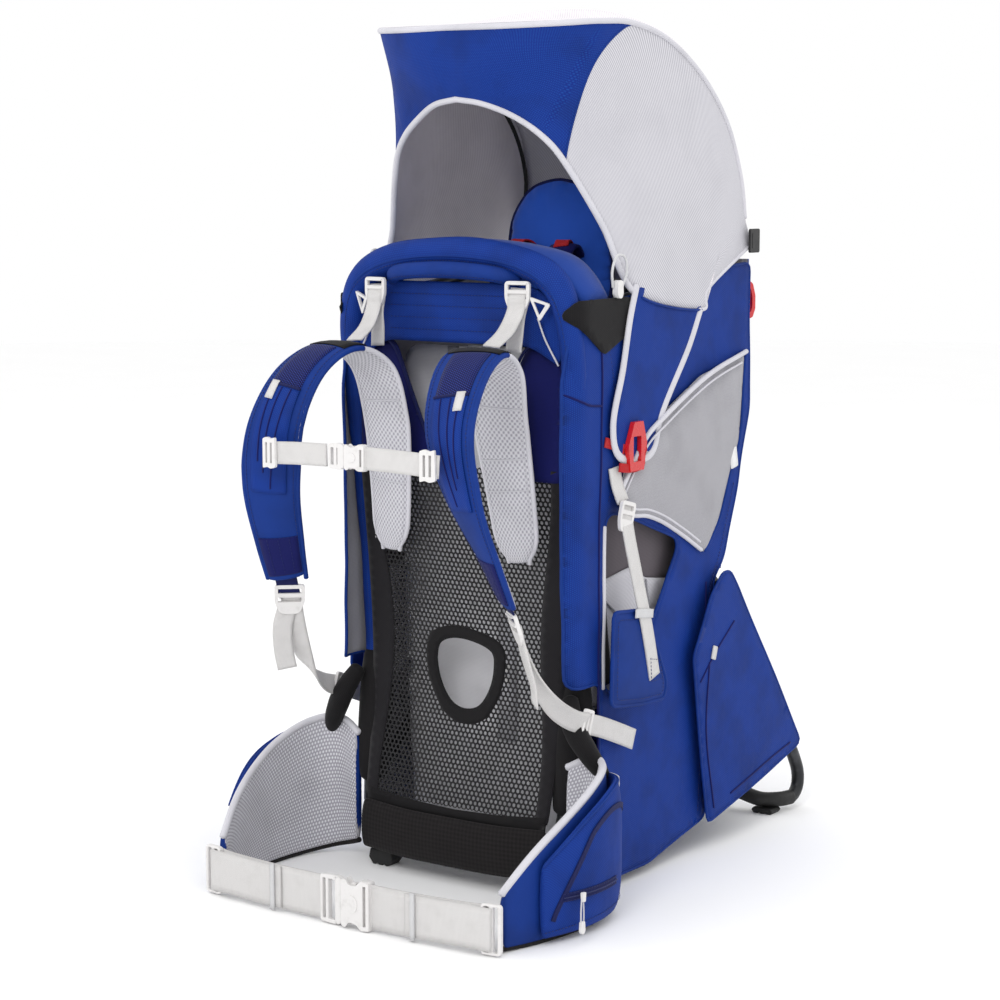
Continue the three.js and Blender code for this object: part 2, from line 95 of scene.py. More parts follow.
def smooth_line(points, count, closed=False):
    """count points evenly spaced along a centripetal Catmull-Rom line through points."""
    p = np.array(points, float)
    if closed:
        q = np.concatenate([p[-1:], p, p[:2]])
    else:
        q = np.concatenate([2 * p[:1] - p[1:2], p, 2 * p[-1:] - p[-2:-1]])
    t = np.linspace(0, 1, 14, endpoint=False)[:, None]
    dense = []
    for a, b, c, d in zip(q, q[1:], q[2:], q[3:]):
        s0, s1, s2 = (max(np.linalg.norm(v) ** 0.5, 1e-6) for v in (b - a, c - b, d - c))
        m1 = ((b - a) / s0 - (c - a) / (s0 + s1) + (c - b) / s1) * s1
        m2 = ((c - b) / s1 - (d - b) / (s1 + s2) + (d - c) / s2) * s1
        dense.append(
            b + m1 * t + (3 * (c - b) - 2 * m1 - m2) * t**2 + (2 * (b - c) + m1 + m2) * t**3
        )
    dense = np.concatenate([*dense, q[-2:-1]])
    run = np.r_[0, np.cumsum(np.linalg.norm(np.diff(dense, axis=0), axis=1))]
    s = np.linspace(0, run[-1], count, endpoint=not closed)
    return np.stack([np.interp(s, run, dense[:, k]) for k in range(p.shape[1])], 1)


def unit(v):
    return v / np.maximum(np.linalg.norm(v, axis=-1, keepdims=True), 1e-9)


def tangents(line, closed=False):
    if closed:
        return unit(np.roll(line, -1, 0) - np.roll(line, 1, 0))
    return unit(np.gradient(line, axis=0))


def run_length(line):
    return np.r_[0, np.cumsum(np.linalg.norm(np.diff(line, axis=0), axis=1))]


class Shape:
    """Points in mm, faces, one UV in metres for each face corner, and a material number per face."""

    def __init__(self):
        self.points, self.faces, self.uvs, self.slots = [], [], [], []

    def add(self, points, faces, uvs, slots=0):
        start = sum(len(p) for p in self.points)
        self.points.append(np.array(points, float).reshape(-1, 3))
        self.faces += [tuple(i + start for i in f) for f in faces]
        self.uvs += list(uvs)
        self.slots += [slots] * len(faces) if isinstance(slots, int) else list(slots)
        return self

    def join(self, other, slot=None):
        slots = other.slots if slot is None else [slot] * len(other.faces)
        return self.add(np.concatenate(other.points), other.faces, other.uvs, slots)

    def mirror(self):
        """The same shape on the other side, with its faces still pointing out."""
        made = Shape()
        made.add(mirrored(np.concatenate(self.points)), [f[::-1] for f in self.faces], [], self.slots)
        corner = 0
        for f in self.faces:
            made.uvs += self.uvs[corner : corner + len(f)][::-1]
            corner += len(f)
        return made


def merged(shapes):
    made = Shape()
    for shape in shapes:
        made.join(shape)
    return made


def grid(points, wrap=False, slots=0, loop=False):
    """A skin over rows of points. With wrap, each row is a closed loop, and with loop the last row
    joins the first."""
    p = np.array(points, float)
    rows, cols = p.shape[:2]
    across = np.concatenate([p, p[:, :1]], 1) if wrap else p
    u = np.linalg.norm(np.diff(across, axis=1), axis=2).mean(0).cumsum()
    u = np.r_[0, u] * MM
    down = np.concatenate([p, p[:1]]) if loop else p
    v = np.r_[0, np.linalg.norm(np.diff(down, axis=0), axis=2).mean(1).cumsum()] * MM
    faces, uvs, marks = [], [], []
    for i in range(rows if loop else rows - 1):
        n = (i + 1) % rows
        for j in range(cols if wrap else cols - 1):
            k = (j + 1) % cols
            faces.append((i * cols + j, i * cols + k, n * cols + k, n * cols + j))
            uvs += [(u[j], v[i]), (u[j + 1], v[i]), (u[j + 1], v[i + 1]), (u[j], v[i + 1])]
            marks.append(slots(i, j) if callable(slots) else slots)
    return Shape().add(p.reshape(-1, 3), faces, uvs, marks)


def loft(rings, slots=0, lid=0):
    """A closed body over closed rings, with a flat lid at each end."""
    rings = np.array(rings, float)
    made = grid(rings, True, slots)
    n, last = rings.shape[1], (len(rings) - 1) * rings.shape[1]
    for ids in (tuple(range(n))[::-1], tuple(range(last, last + n))):
        made.faces.append(ids)
        ring = np.array([rings.reshape(-1, 3)[i] for i in ids]) * MM
        made.uvs += [(p[0], p[1] + p[2]) for p in ring]
        made.slots.append(lid)
    return made


def tube(line, radius, sides=10, closed=False, flat=1.0, side=None, slot=0):
    """A round tube along a line in mm. radius may be one size or one for each point, and flat
    squeezes the section across side."""
    line = np.array(line, float)
    along = tangents(line, closed)
    hint = np.array([0.0, 0.0, 1.0]) if side is None else np.array(side, float)
    normal = np.cross(along, hint)
    weak = np.linalg.norm(normal, axis=1) < 0.2
    if side is None and weak.any():
        normal = np.zeros_like(along)
        first = np.cross(along[0], [0.3, 0.9, 0.2])
        for i, t in enumerate(along):
            first = unit(first - t * first.dot(t))
            normal[i] = first
    normal = unit(normal)
    other = np.cross(along, normal)
    radius = np.broadcast_to(np.asarray(radius, float), len(line))[:, None, None]
    a = np.linspace(0, 2 * math.pi, sides, endpoint=False)
    ring = normal[:, None] * np.cos(a)[None, :, None] + other[:, None] * np.sin(a)[None, :, None] * flat
    rings = line[:, None] + radius * ring
    if not closed:
        tips = [
            (rings[:1] - line[:1, None]) * 0.55 + line[:1, None] - along[:1, None] * radius[:1] * 0.35,
            rings,
            (rings[-1:] - line[-1:, None]) * 0.55 + line[-1:, None] + along[-1:, None] * radius[-1:] * 0.35,
        ]
        return loft(np.concatenate(tips), slot, slot)
    return grid(rings, True, slot, loop=True)


def ribbon(line, side, width, thick, crown=0.0, cols=6, slots=(0, 0), round_ends=False):
    """A flat strap along a line. side is its width direction, one vector or one for each point.
    crown makes it thicker in the middle, and slots are its two faces' materials."""
    line = np.array(line, float)
    along = tangents(line)
    side = np.broadcast_to(np.array(side, float), line.shape)
    side = unit(side - along * (side * along).sum(1, keepdims=True))
    up = np.cross(along, side)
    width = np.broadcast_to(np.asarray(width, float), len(line)).copy()
    if round_ends:
        s = run_length(line)
        edge = np.minimum(s, s[-1] - s)
        reach = width / 2
        width *= np.sqrt(np.clip(1 - (1 - np.clip(edge / reach, 0.02, 1)) ** 2, 0.05, 1))
    x = np.linspace(-1, 1, cols + 1)
    h = thick / 2 + crown * (1 - np.abs(x) ** 2.5)
    pairs = [(a, b) for a, b in zip(x, h)] + [(a, -b) for a, b in zip(x[::-1], h[::-1])]
    rings = np.stack([line + side * (width / 2)[:, None] * a + up * b for a, b in pairs], 1)
    return loft(rings, lambda i, j: slots[0] if j <= cols else slots[1], slots[0])


def spline_at(points, places):
    """Points of a Catmull-Rom line through points, at places counted in control points."""
    p = np.array(points, float)
    q = np.concatenate([2 * p[:1] - p[1:2], p, 2 * p[-1:] - p[-2:-1]])
    places = np.clip(np.asarray(places, float), 0, len(p) - 1)
    i = np.minimum(places.astype(int), len(p) - 2)
    t = (places - i)[..., None]
    a, b, c, d = q[i], q[i + 1], q[i + 2], q[i + 3]
    m, n = (c - a) / 2, (d - b) / 2
    return b + m * t + (3 * (c - b) - 2 * m - n) * t**2 + (2 * (b - c) + m + n) * t**3


def rumple(points, depth, size, way, seed=0.0):
    """Points pushed to and fro along one way by soft noise, as loose cloth lies."""
    push = np.array([noise.noise(Vector((q / size + seed).tolist())) for q in points])
    return points + push[:, None] * depth * unit(np.array(way, float))


def rumpled(shape, *how):
    """A shape with all its points rumpled."""
    shape.points = [rumple(p, *how) for p in shape.points]
    return shape


def inside(points, outline):
    """Which 2-D points lie inside a closed outline."""
    x, y = points[:, 0], points[:, 1]
    found = np.zeros(len(points), bool)
    for (x0, y0), (x1, y1) in zip(outline, np.roll(outline, -1, 0)):
        if y0 != y1:
            crossing = ((y0 > y) != (y1 > y)) & (x < (x1 - x0) * (y - y0) / (y1 - y0) + x0)
            found ^= crossing
    return found


def edge_distance(points, outline):
    best = np.full(len(points), 1e9)
    for a, b in zip(outline, np.roll(outline, -1, 0)):
        d = b - a
        t = np.clip(((points - a) @ d) / max(d @ d, 1e-9), 0, 1)
        best = np.minimum(best, np.linalg.norm(points - a - t[:, None] * d, axis=1))
    return best


def rounded(outline, radius, steps=4):
    """An outline with each corner turned into an arc."""
    p = np.array(outline, float)
    made = []
    for a, b, c in zip(np.roll(p, 1, 0), p, np.roll(p, -1, 0)):
        ra = min(radius, np.linalg.norm(a - b) * 0.45)
        rc = min(radius, np.linalg.norm(c - b) * 0.45)
        start, end = b + unit(a - b) * ra, b + unit(c - b) * rc
        for t in np.linspace(0, 1, steps + 1):
            made.append((1 - t) ** 2 * start + 2 * t * (1 - t) * b + t * t * end)
    return np.array(made)


def resampled(outline, step):
    closed = np.concatenate([outline, outline[:1]])
    run = run_length(closed)
    s = np.linspace(0, run[-1], max(int(run[-1] / step), 8), endpoint=False)
    return np.stack([np.interp(s, run, closed[:, k]) for k in range(2)], 1)


def cloth_panel(outline, place, step=8.0, holes=(), slot=0):
    """A sheet cut to a 2-D outline in mm, filled with even triangles, and put in place by
    place(points), which turns 2-D points into 3-D ones."""
    edges = [resampled(np.array(o, float), step * 0.7) for o in (outline, *holes)]
    low, high = edges[0].min(0), edges[0].max(0)
    lattice = [
        (x + (step / 2 if row % 2 else 0), y)
        for row, y in enumerate(np.arange(low[1], high[1], step * 0.866))
        for x in np.arange(low[0], high[0], step)
    ]
    lattice = np.array(lattice)
    keep = inside(lattice, edges[0])
    for e in edges[1:]:
        keep &= ~inside(lattice, e)
    for e in edges:
        keep &= edge_distance(lattice, e) > step * 0.55
    return cut_out(np.concatenate([*edges, lattice[keep]]), edges, place, slot)


def plate(outline, place, holes=()):
    """A flat plate cut to a 2-D outline in mm, with holes, and only the points of its edges."""
    edges = [np.array(o, float) for o in (outline, *holes)]
    return cut_out(np.concatenate(edges), edges, place)


def cut_out(points, edges, place, slot=0):
    """Triangles between 2-D points, inside the first of the edges and outside the others."""
    links, start = [], 0
    for e in edges:
        links += [(start + i, start + (i + 1) % len(e)) for i in range(len(e))]
        start += len(e)
    made, _, faces, *_ = delaunay_2d_cdt([Vector(p) for p in points], links, [], 0, 1e-4)
    made = np.array([tuple(v) for v in made])
    middle = np.array([made[list(f)].mean(0) for f in faces])
    good = inside(middle, edges[0])
    for e in edges[1:]:
        good &= ~inside(middle, e)
    faces = [tuple(f) for f, g in zip(faces, good) if g]
    return Shape().add(place(made), faces, [tuple(made[i] * MM) for f in faces for i in f], slot)


def frame_of(centre, right, up):
    """A place() that puts a 2-D point at centre + x * right + y * up."""
    centre, right = np.array(centre, float), unit(np.array(right, float))
    up = np.array(up, float)
    up = unit(up - right * up.dot(right))
    return lambda p: centre + np.outer(p[:, 0], right) + np.outer(p[:, 1], up)


def on_side(x):
    """A place() for an outline drawn in (y, z) at one x, or at x(y, z)."""
    return lambda p: np.stack([x(p[:, 0], p[:, 1]) if callable(x) else np.full(len(p), x), *p.T], 1)


def facing(y):
    """A place() for an outline drawn in (x, z) at one y, or at y(x, z)."""
    return lambda p: np.stack([p[:, 0], y(*p.T) if callable(y) else np.full(len(p), float(y)), p[:, 1]], 1)


def block(x0, x1, y0, y1):
    return [(x0, y0), (x1, y0), (x1, y1), (x0, y1)]


def round_box(x0, x1, y0, y1, r):
    return rounded(block(x0, x1, y0, y1), r, 5)


def ringed(radius, count, centre=(0, 0), flat=1.0):
    """A circle of points, or an ellipse when flat isn't 1."""
    a = np.linspace(0, 2 * math.pi, count, endpoint=False)
    return [(centre[0] + radius * math.cos(t), centre[1] + radius * flat * math.sin(t)) for t in a]


def flip(s, points):
    """Points for the right side, mirrored when s is -1."""
    return np.array(points, float) * [s, 1, 1]


# ---- making objects


def placed(name, data):
    """A new object in the scene, at the origin."""
    obj = bpy.data.objects.new(name, data)
    bpy.context.scene.collection.objects.link(obj)
    return obj


def piece(name, shape, materials, thick=0.0, subdivide=0, bevel=0.0, flat=False, offset=0.0, rim=None):
    """A mesh object from a shape, with its modifiers applied. It has no body yet."""
    mesh = bpy.data.meshes.new(name)
    mesh.from_pydata(at(np.concatenate(shape.points)).tolist(), [], shape.faces)
    layer = mesh.uv_layers.new(name="cloth")
    layer.data.foreach_set("uv", np.array(shape.uvs, np.float32).ravel())
    mesh.polygons.foreach_set("material_index", shape.slots)
    mesh.polygons.foreach_set("use_smooth", [not flat] * len(mesh.polygons))
    for m in materials if isinstance(materials, (list, tuple)) else [materials]:
        mesh.materials.append(m)
    obj = placed(name, mesh)
    if not thick:
        work = bmesh.new()
        work.from_mesh(mesh)
        bmesh.ops.remove_doubles(work, verts=work.verts, dist=2e-5)
        bmesh.ops.recalc_face_normals(work, faces=work.faces)
        work.to_mesh(mesh)
        work.free()
    else:
        wall = obj.modifiers.new("wall", "SOLIDIFY")
        wall.thickness, wall.offset = thick * MM, offset
        if rim is not None:
            wall.material_offset, wall.material_offset_rim = rim
    if bevel:
        edge = obj.modifiers.new("edge", "BEVEL")
        edge.width, edge.segments, edge.limit_method, edge.angle_limit = bevel * MM, 2, "ANGLE", 0.6
    if subdivide:
        soft = obj.modifiers.new("soft", "SUBSURF")
        soft.levels = soft.render_levels = subdivide
    return settled(obj)


def settled(obj):
    """Applies an object's modifiers."""
    if len(obj.modifiers):
        found = bpy.context.evaluated_depsgraph_get()
        mesh = bpy.data.meshes.new_from_object(obj.evaluated_get(found))
        obj.modifiers.clear()
        old, obj.data = obj.data, mesh
        bpy.data.meshes.remove(old)
        obj.data.name = obj.name
    return obj


def ridden(obj, body, slot=None, stands_for=()):
    """Puts a piece on its body and hides the CAD nodes that it stands for. slot is not used."""
    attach(obj, body)
    if stands_for:
        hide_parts(*stands_for)
    return obj


def pair(name, shape, materials, body="frame", slot="blue_cloth", stands_for=None, padded=None, **finish):
    """A right-hand piece and its mirror image, on one body or on a left and a right body."""
    made = []
    for hand, s in (("right", shape), ("left", shape.mirror())):
        obj = piece(f"{name}_{hand}", s, materials, **finish)
        ridden(obj, body.format(hand=hand), slot, [f"{stands_for}_{hand}"] if stands_for else ())
        made.append(obj)
    return made


def softened(obj):
    """Rounds a piece with one subdivision."""
    soft = obj.modifiers.new("soft", "SUBSURF")
    soft.levels = soft.render_levels = 1
    return settled(obj)


def puffed(obj, held, pressure=4.0, cap=6.0, frames=14, stiff=8.0):
    """Fills a closed cloth piece like a stuffed pad: a short cloth simulation that holds the points
    where held(points in mm) is true, and whose result is applied. No point moves further than cap
    millimetres. A smoothing follows."""
    rest = np.array([v.co for v in obj.data.vertices])
    drawn = (rest - [0, ORIGIN_Y, 0]) / MM
    group = obj.vertex_groups.new(name="held")
    group.add([int(i) for i in np.flatnonzero(held(drawn))], 1.0, "REPLACE")
    cloth = obj.modifiers.new("fill", "CLOTH")
    s = cloth.settings
    s.quality, s.mass, s.tension_stiffness, s.compression_stiffness = 5, 0.2, stiff, stiff
    s.shear_stiffness, s.bending_stiffness, s.vertex_group_mass = stiff, 0.3, "held"
    s.use_pressure, s.uniform_pressure_force = True, pressure
    s.effector_weights.gravity = 0.0
    cloth.collision_settings.use_collision = False
    cloth.point_cache.frame_start, cloth.point_cache.frame_end = 1, frames
    scene = bpy.context.scene
    for f in range(1, frames + 1):
        scene.frame_set(f)
    found = bpy.context.evaluated_depsgraph_get()
    mesh = bpy.data.meshes.new_from_object(obj.evaluated_get(found))
    now = np.array([v.co for v in mesh.vertices])
    bpy.data.meshes.remove(mesh)
    obj.modifiers.clear()
    obj.vertex_groups.clear()
    scene.frame_set(1)
    move = now - rest
    far = np.maximum(np.linalg.norm(move, axis=1, keepdims=True), 1e-9)
    move *= np.minimum(1, cap * MM / far)
    obj.data.vertices.foreach_set("co", (rest + move).astype(np.float32).ravel())
    obj.data.update()
    return softened(obj)


def joined(name, objects):
    """One object out of several finished ones that share one material."""
    work = bmesh.new()
    for o in objects:
        work.from_mesh(o.data)
    work.to_mesh(objects[0].data)
    work.free()
    for o in objects[1:]:
        bpy.data.meshes.remove(o.data)
    objects[0].name = objects[0].data.name = name
    return objects[0]


def hardware(name, parts, material, bevel=0.9):
    """A moulded piece out of plates. Each part is (outline, place, thickness, holes)."""
    made = []
    # A strap to a buckle: the right one goes on its body, and the left one goes on no body, with its CAD
    # webbing hidden.
    for k, (outline, place, thick, *holes) in enumerate(parts):
        shape = plate(outline, place, holes)
        made.append(piece(f"{name}_{k}", shape, material, thick=thick, bevel=min(bevel, thick * 0.3),
                          flat=True, offset=0))
    return joined(name, made)


def acetal_part(name, parts, body, stands_for=(), bevel=0.9):
    """A moulded acetal piece on its body."""
    return ridden(hardware(name, parts, ACETAL, bevel), body, "pale_plastic", stands_for)


def taped(name, points, count, side, wide, thick, material=None, crown=0.0):
    """A flat tape along a smooth line through points, of webbing unless it says otherwise."""
    return piece(name, ribbon(smooth_line(points, count), side, wide, thick, crown), material or WEBBING)


def bridging(strap, start, end):
    """Bakes a strap's placement into its mesh; start and end, two of its points in mm, are only converted."""
    tuple(at(start))
    tuple(at(end))
    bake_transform(strap)


def as_sheet(obj, shape, held, rests_on):
    """Works out the size of the cloth that a sewn panel, or a pair of them, was cut from, and returns the
    panel without keeping that size."""
    if isinstance(obj, list):
        return [
            as_sheet(o, shape, held, [n.replace("right", hand) for n in rests_on])
            for o, hand in zip(obj, ("right", "left"))
        ]
    points = np.concatenate(shape.points)
    area = 0.0
    for f in shape.faces:
        p = points[list(f)] * MM
        area += sum(np.linalg.norm(np.cross(b - p[0], c - p[0])) / 2 for b, c in zip(p[1:], p[2:]))
    size = np.ptp(np.array(shape.uvs), axis=0)
    size *= max(1.0, math.sqrt(area / size.prod()))
    return obj


# ---- geometry nodes


def tree_of(name, inputs):
    """A geometry node tree with a geometry input, named inputs and a geometry output."""
    tree = bpy.data.node_groups.new(name, "GeometryNodeTree")
    tree.interface.new_socket("Geometry", in_out="INPUT", socket_type="NodeSocketGeometry")
    for label, kind in inputs:
        tree.interface.new_socket(label, in_out="INPUT", socket_type=kind)
    tree.interface.new_socket("Geometry", in_out="OUTPUT", socket_type="NodeSocketGeometry")
    return tree, add(tree, "NodeGroupInput").outputs


def ended(tree, geometry, material):
    """Ends a tree: real geometry, with its material."""
    real = add(tree, "GeometryNodeRealizeInstances", {0: geometry}).outputs[0]
    painted = add(tree, "GeometryNodeSetMaterial", {"Geometry": real, "Material": material}).outputs[0]
    add(tree, "NodeGroupOutput", {0: painted})


def row_tree():
    """Beads along lines, for thread stitches and zip teeth."""
    tree, given = tree_of("beads_along_lines", [
        ("Pitch", "NodeSocketFloat"), ("Length", "NodeSocketFloat"), ("Width", "NodeSocketFloat"),
        ("Height", "NodeSocketFloat"), ("Material", "NodeSocketMaterial"),
    ])
    curve = add(tree, "GeometryNodeMeshToCurve", {0: given["Geometry"]}).outputs[0]
    spaced = add(tree, "GeometryNodeResampleCurve", {"Curve": curve, "Length": given["Pitch"]}, mode="LENGTH")
    bead = add(tree, "GeometryNodeMeshUVSphere", {"Segments": 6, "Rings": 4, "Radius": 0.5}).outputs[0]
    along = add(tree, "GeometryNodeInputTangent").outputs[0]
    turn = add(tree, "FunctionNodeAlignRotationToVector", {"Vector": along}, axis="X").outputs[0]
    size = add(tree, "ShaderNodeCombineXYZ", {0: given["Length"], 1: given["Width"], 2: given["Height"]})
    beads = add(tree, "GeometryNodeInstanceOnPoints", {
        "Points": spaced.outputs[0], "Instance": bead, "Rotation": turn, "Scale": size.outputs[0]})
    ended(tree, beads.outputs[0], given["Material"])
    return tree


def net_tree():
    """Turns triangles into a net of open hexagonal cells."""
    tree, given = tree_of("open_hexagon_net", [
        ("Opening", "NodeSocketFloat"), ("Material", "NodeSocketMaterial"),
    ])
    cells = add(tree, "GeometryNodeDualMesh", {0: given["Geometry"]}).outputs[0]
    rims = add(tree, "GeometryNodeExtrudeMesh", {"Mesh": cells, "Offset Scale": 0.0, "Individual": True})
    top = rims.outputs["Top"]
    shrunk = add(tree, "GeometryNodeScaleElements", {
        "Geometry": rims.outputs["Mesh"], "Selection": top, "Scale": given["Opening"]}).outputs[0]
    net = add(tree, "GeometryNodeDeleteGeometry", {"Geometry": shrunk, "Selection": top}, domain="FACE")
    ended(tree, net.outputs[0], given["Material"])
    return tree


def grown(obj, tree, **values):
    """Runs a geometry node tree on an object and keeps the result as its mesh."""
    run = obj.modifiers.new("nodes", "NODES")
    run.node_group = tree
    for item in tree.interface.items_tree:
        if item.in_out == "INPUT" and item.name in values:
            run[item.identifier] = values[item.name]
    return settled(obj)


def beaded(name, lines, material, pitch, length, width, height, body, slot):
    """Rows of beads along lines in mm: stitches or zip teeth."""
    points, edges = [], []
    for line in lines:
        edges += [(len(points) + i, len(points) + i + 1) for i in range(len(line) - 1)]
        points += at(line).tolist()
    mesh = bpy.data.meshes.new(name)
    mesh.from_pydata(points, edges, [])
    obj = placed(name, mesh)
    grown(obj, ROW_TREE, Pitch=pitch * MM, Length=length * MM, Width=width * MM, Height=height * MM,
          Material=material)
    obj.data.polygons.foreach_set("use_smooth", [True] * len(obj.data.polygons))
    return ridden(obj, body, slot)


def stitched(name, lines, body="frame", mirror=True, thread=None, slot="blue_cloth"):
    """Lockstitch rows: each stitch is 3.2 mm long and 1 mm wide, at 4.2 mm pitch. Real thread is
    0.5 mm, and is drawn thicker so that it shows."""
    if mirror:
        lines = [*lines, *[mirrored(line) for line in lines]]
    return beaded(name, lines, thread or THREAD_BLUE, 4.2, 3.2, 1.0, 0.8, body, slot)


# ---- materials


def linear(code):
    """An sRGB hex colour as a linear RGBA colour."""
    made = []
    for i in (0, 2, 4):
        c = int(code[i : i + 2], 16) / 255
        made.append(c / 12.92 if c <= 0.04045 else ((c + 0.055) / 1.055) ** 2.4)
    return (*made, 1.0)


def add(tree, kind, inputs=None, **settings):
    """Adds a node with its settings, and links or sets its inputs."""
    made = tree.nodes.new(kind)
    for key, value in settings.items():
        setattr(made, key, value)
    for key, value in (inputs or {}).items():
        if isinstance(value, bpy.types.NodeSocket):
            tree.links.new(value, made.inputs[key])
        else:
            made.inputs[key].default_value = value
    return made


def begin(name, rough, **shader):
    """A new material, with constants set on its shader."""
    mat = bpy.data.materials.new(name)
    mat.use_nodes = True
    tree = mat.node_tree
    bsdf = tree.nodes["Principled BSDF"]
    bsdf.inputs["Roughness"].default_value = rough
    for key, value in shader.items():
        bsdf.inputs[key.replace("_", " ")].default_value = value
    return mat, tree, bsdf


def yarns(tree, pitch, angles):
    """A repeating height of 0 to 1 on the piece's own UV: one set of ridges for each angle.
    One angle gives ribs, two a square weave and three a hexagonal knit. pitch is in mm."""
    place = add(tree, "ShaderNodeUVMap", uv_map="cloth").outputs["UV"]
    total = None
    for angle in angles:
        turned = add(tree, "ShaderNodeMapping", {
            "Vector": place, "Rotation": (0, 0, math.radians(angle)), "Scale": (1 / (pitch * MM),) * 3})
        x = add(tree, "ShaderNodeSeparateXYZ", {0: turned.outputs[0]}).outputs[0]
        phase = add(tree, "ShaderNodeMath", {0: x, 1: 2 * math.pi}, operation="MULTIPLY").outputs[0]
        wave = add(tree, "ShaderNodeMath", {0: phase}, operation="COSINE").outputs[0]
        total = wave if total is None else add(tree, "ShaderNodeMath", {0: total, 1: wave}).outputs[0]
    low = -1.5 if len(angles) == 3 else -float(len(angles))
    height = add(tree, "ShaderNodeMapRange", {
        "Value": total, "From Min": low, "From Max": float(len(angles)), "To Min": 0.0, "To Max": 1.0})
    return height.outputs[0]


def speckle(tree, size, detail=3.0):
    """Soft unevenness in Object coordinates, with patches about size mm across."""
    place = add(tree, "ShaderNodeTexCoord").outputs["Object"]
    noisy = add(tree, "ShaderNodeTexNoise", {"Vector": place, "Scale": 1 / (size * MM), "Detail": detail})
    return noisy.outputs["Fac"]


def tint(tree, factor, dark, light, low=0.0, high=1.0):
    """A colour between two sRGB colours, by a factor that runs from low to high."""
    share = add(tree, "ShaderNodeMapRange", {"Value": factor, "From Min": low, "From Max": high}).outputs[0]
    ends = {"Factor": share, 6: linear(dark), 7: linear(light)}
    return add(tree, "ShaderNodeMix", ends, data_type="RGBA").outputs[2]


def overlay(tree, colour, factor, code, strength, low=0.4, high=0.6):
    """Lays a second colour over the first where the factor is high."""
    share = add(tree, "ShaderNodeMapRange", {
        "Value": factor, "From Min": low, "From Max": high, "To Min": 0.0, "To Max": strength}).outputs[0]
    ends = {"Factor": share, 6: colour, 7: linear(code)}
    return add(tree, "ShaderNodeMix", ends, data_type="RGBA").outputs[2]


def raised(tree, bsdf, heights):
    """Bump from (height, millimetres) pairs, the coarsest first."""
    normal = None
    for height, depth in heights:
        inputs = {"Height": height, "Distance": depth * MM, "Strength": 1.0}
        if normal is not None:
            inputs["Normal"] = normal
        normal = add(tree, "ShaderNodeBump", inputs).outputs["Normal"]
    tree.links.new(normal, bsdf.inputs["Normal"])


def cloth(name, dark, light, pitch, angles, depth, rough=0.85, sheen=0.25, shade="000000", soft=0.12,
          hollow=None, puff=0.5):
    """A sewn cloth. The yarn pattern gives both colour and relief. Broad patches vary the colour a
    little, and puckers raise it. With hollow, the low spots of the pattern show that colour."""
    mat, tree, bsdf = begin(name, rough, Sheen_Weight=sheen, Sheen_Roughness=0.5, Specular_IOR_Level=0.2)
    height = yarns(tree, pitch, angles)
    colour = tint(tree, height, dark, light)
    if hollow:
        colour = overlay(tree, colour, height, hollow, 0.92, 0.42, 0.3)
    broad = speckle(tree, 55)
    colour = overlay(tree, colour, broad, shade, soft, 0.45, 0.75)
    tree.links.new(colour, bsdf.inputs["Base Color"])
    raised(tree, bsdf, [(speckle(tree, 38, 2.0), puff), (height, depth)])
    return mat


def woven_tape(name, dark, light, rib=1.3, rough=0.75, dust=0.1):
    """Webbing: ribs across the tape, with a fine warp along it and slightly darker furrows."""
    mat, tree, bsdf = begin(name, rough, Sheen_Weight=0.02, Sheen_Roughness=0.4, Specular_IOR_Level=0.3)
    ribs = yarns(tree, rib, (90,))
    warp = yarns(tree, 1.1, (0,))
    both_ways = add(tree, "ShaderNodeMath", {0: ribs, 1: warp}, operation="MULTIPLY").outputs[0]
    colour = tint(tree, both_ways, dark, light, 0.0, 0.6)
    colour = overlay(tree, colour, speckle(tree, 14), "8a8880", dust, 0.5, 0.75)
    tree.links.new(colour, bsdf.inputs["Base Color"])
    raised(tree, bsdf, [(ribs, 0.25), (warp, 0.12)])
    return mat


def moulded(name, code, rough, grain=0.6, depth=0.03, worn="", **shader):
    """Moulded plastic or rubber: a fine spark-eroded grain, and faint scuffs that change its gloss."""
    mat, tree, bsdf = begin(name, rough, **shader)
    scuff = speckle(tree, 9, 4.0)
    colour = tint(tree, scuff, code, worn or code, 0.55, 0.8)
    tree.links.new(colour, bsdf.inputs["Base Color"])
    gloss = add(tree, "ShaderNodeMapRange", {
        "Value": scuff, "From Min": 0.3, "From Max": 0.7, "To Min": rough - 0.07, "To Max": rough + 0.09})
    tree.links.new(gloss.outputs[0], bsdf.inputs["Roughness"])
    raised(tree, bsdf, [(speckle(tree, grain, 1.0), depth)])
    return mat


def anodised(name, code, worn):
    """Drawn aluminium tube with a dark anodised skin: faint draw lines, and paler rubbed spots."""
    mat, tree, bsdf = begin(name, 0.42, Metallic=0.75)
    place = add(tree, "ShaderNodeUVMap", uv_map="cloth").outputs["UV"]
    drawn = add(tree, "ShaderNodeMapping", {"Vector": place, "Scale": (1400, 25, 1)}).outputs[0]
    lines = add(tree, "ShaderNodeTexNoise", {"Vector": drawn, "Scale": 1.0, "Detail": 2.0}).outputs["Fac"]
    colour = tint(tree, speckle(tree, 20, 4.0), code, worn, 0.55, 0.85)
    tree.links.new(colour, bsdf.inputs["Base Color"])
    rough = add(tree, "ShaderNodeMapRange", {"Value": lines, "To Min": 0.34, "To Max": 0.5})
    tree.links.new(rough.outputs[0], bsdf.inputs["Roughness"])
    raised(tree, bsdf, [(lines, 0.02)])
    return mat


# Nylon pack cloth, royal blue, woven with a small raised hexagonal grid: a dull, even blue with a
# faint grain. The real grid is about 1.2 mm, and is drawn at 2 mm so that it shows.
PACK_CLOTH = cloth("nylon_pack_cloth_blue", "04247a", "124496", 2.0, (0, 60, 120), 0.14, 0.7, 0.0,
                   soft=0.3, puff=1.6)
# Nylon in a tight plain weave, for edges and parts under stress: a slightly darker, smoother blue.
PLAIN_BLUE = cloth("nylon_plain_weave_blue", "042272", "103c8a", 1.2, (0, 90), 0.08, 0.68, 0.0,
                   soft=0.25, puff=1.0)
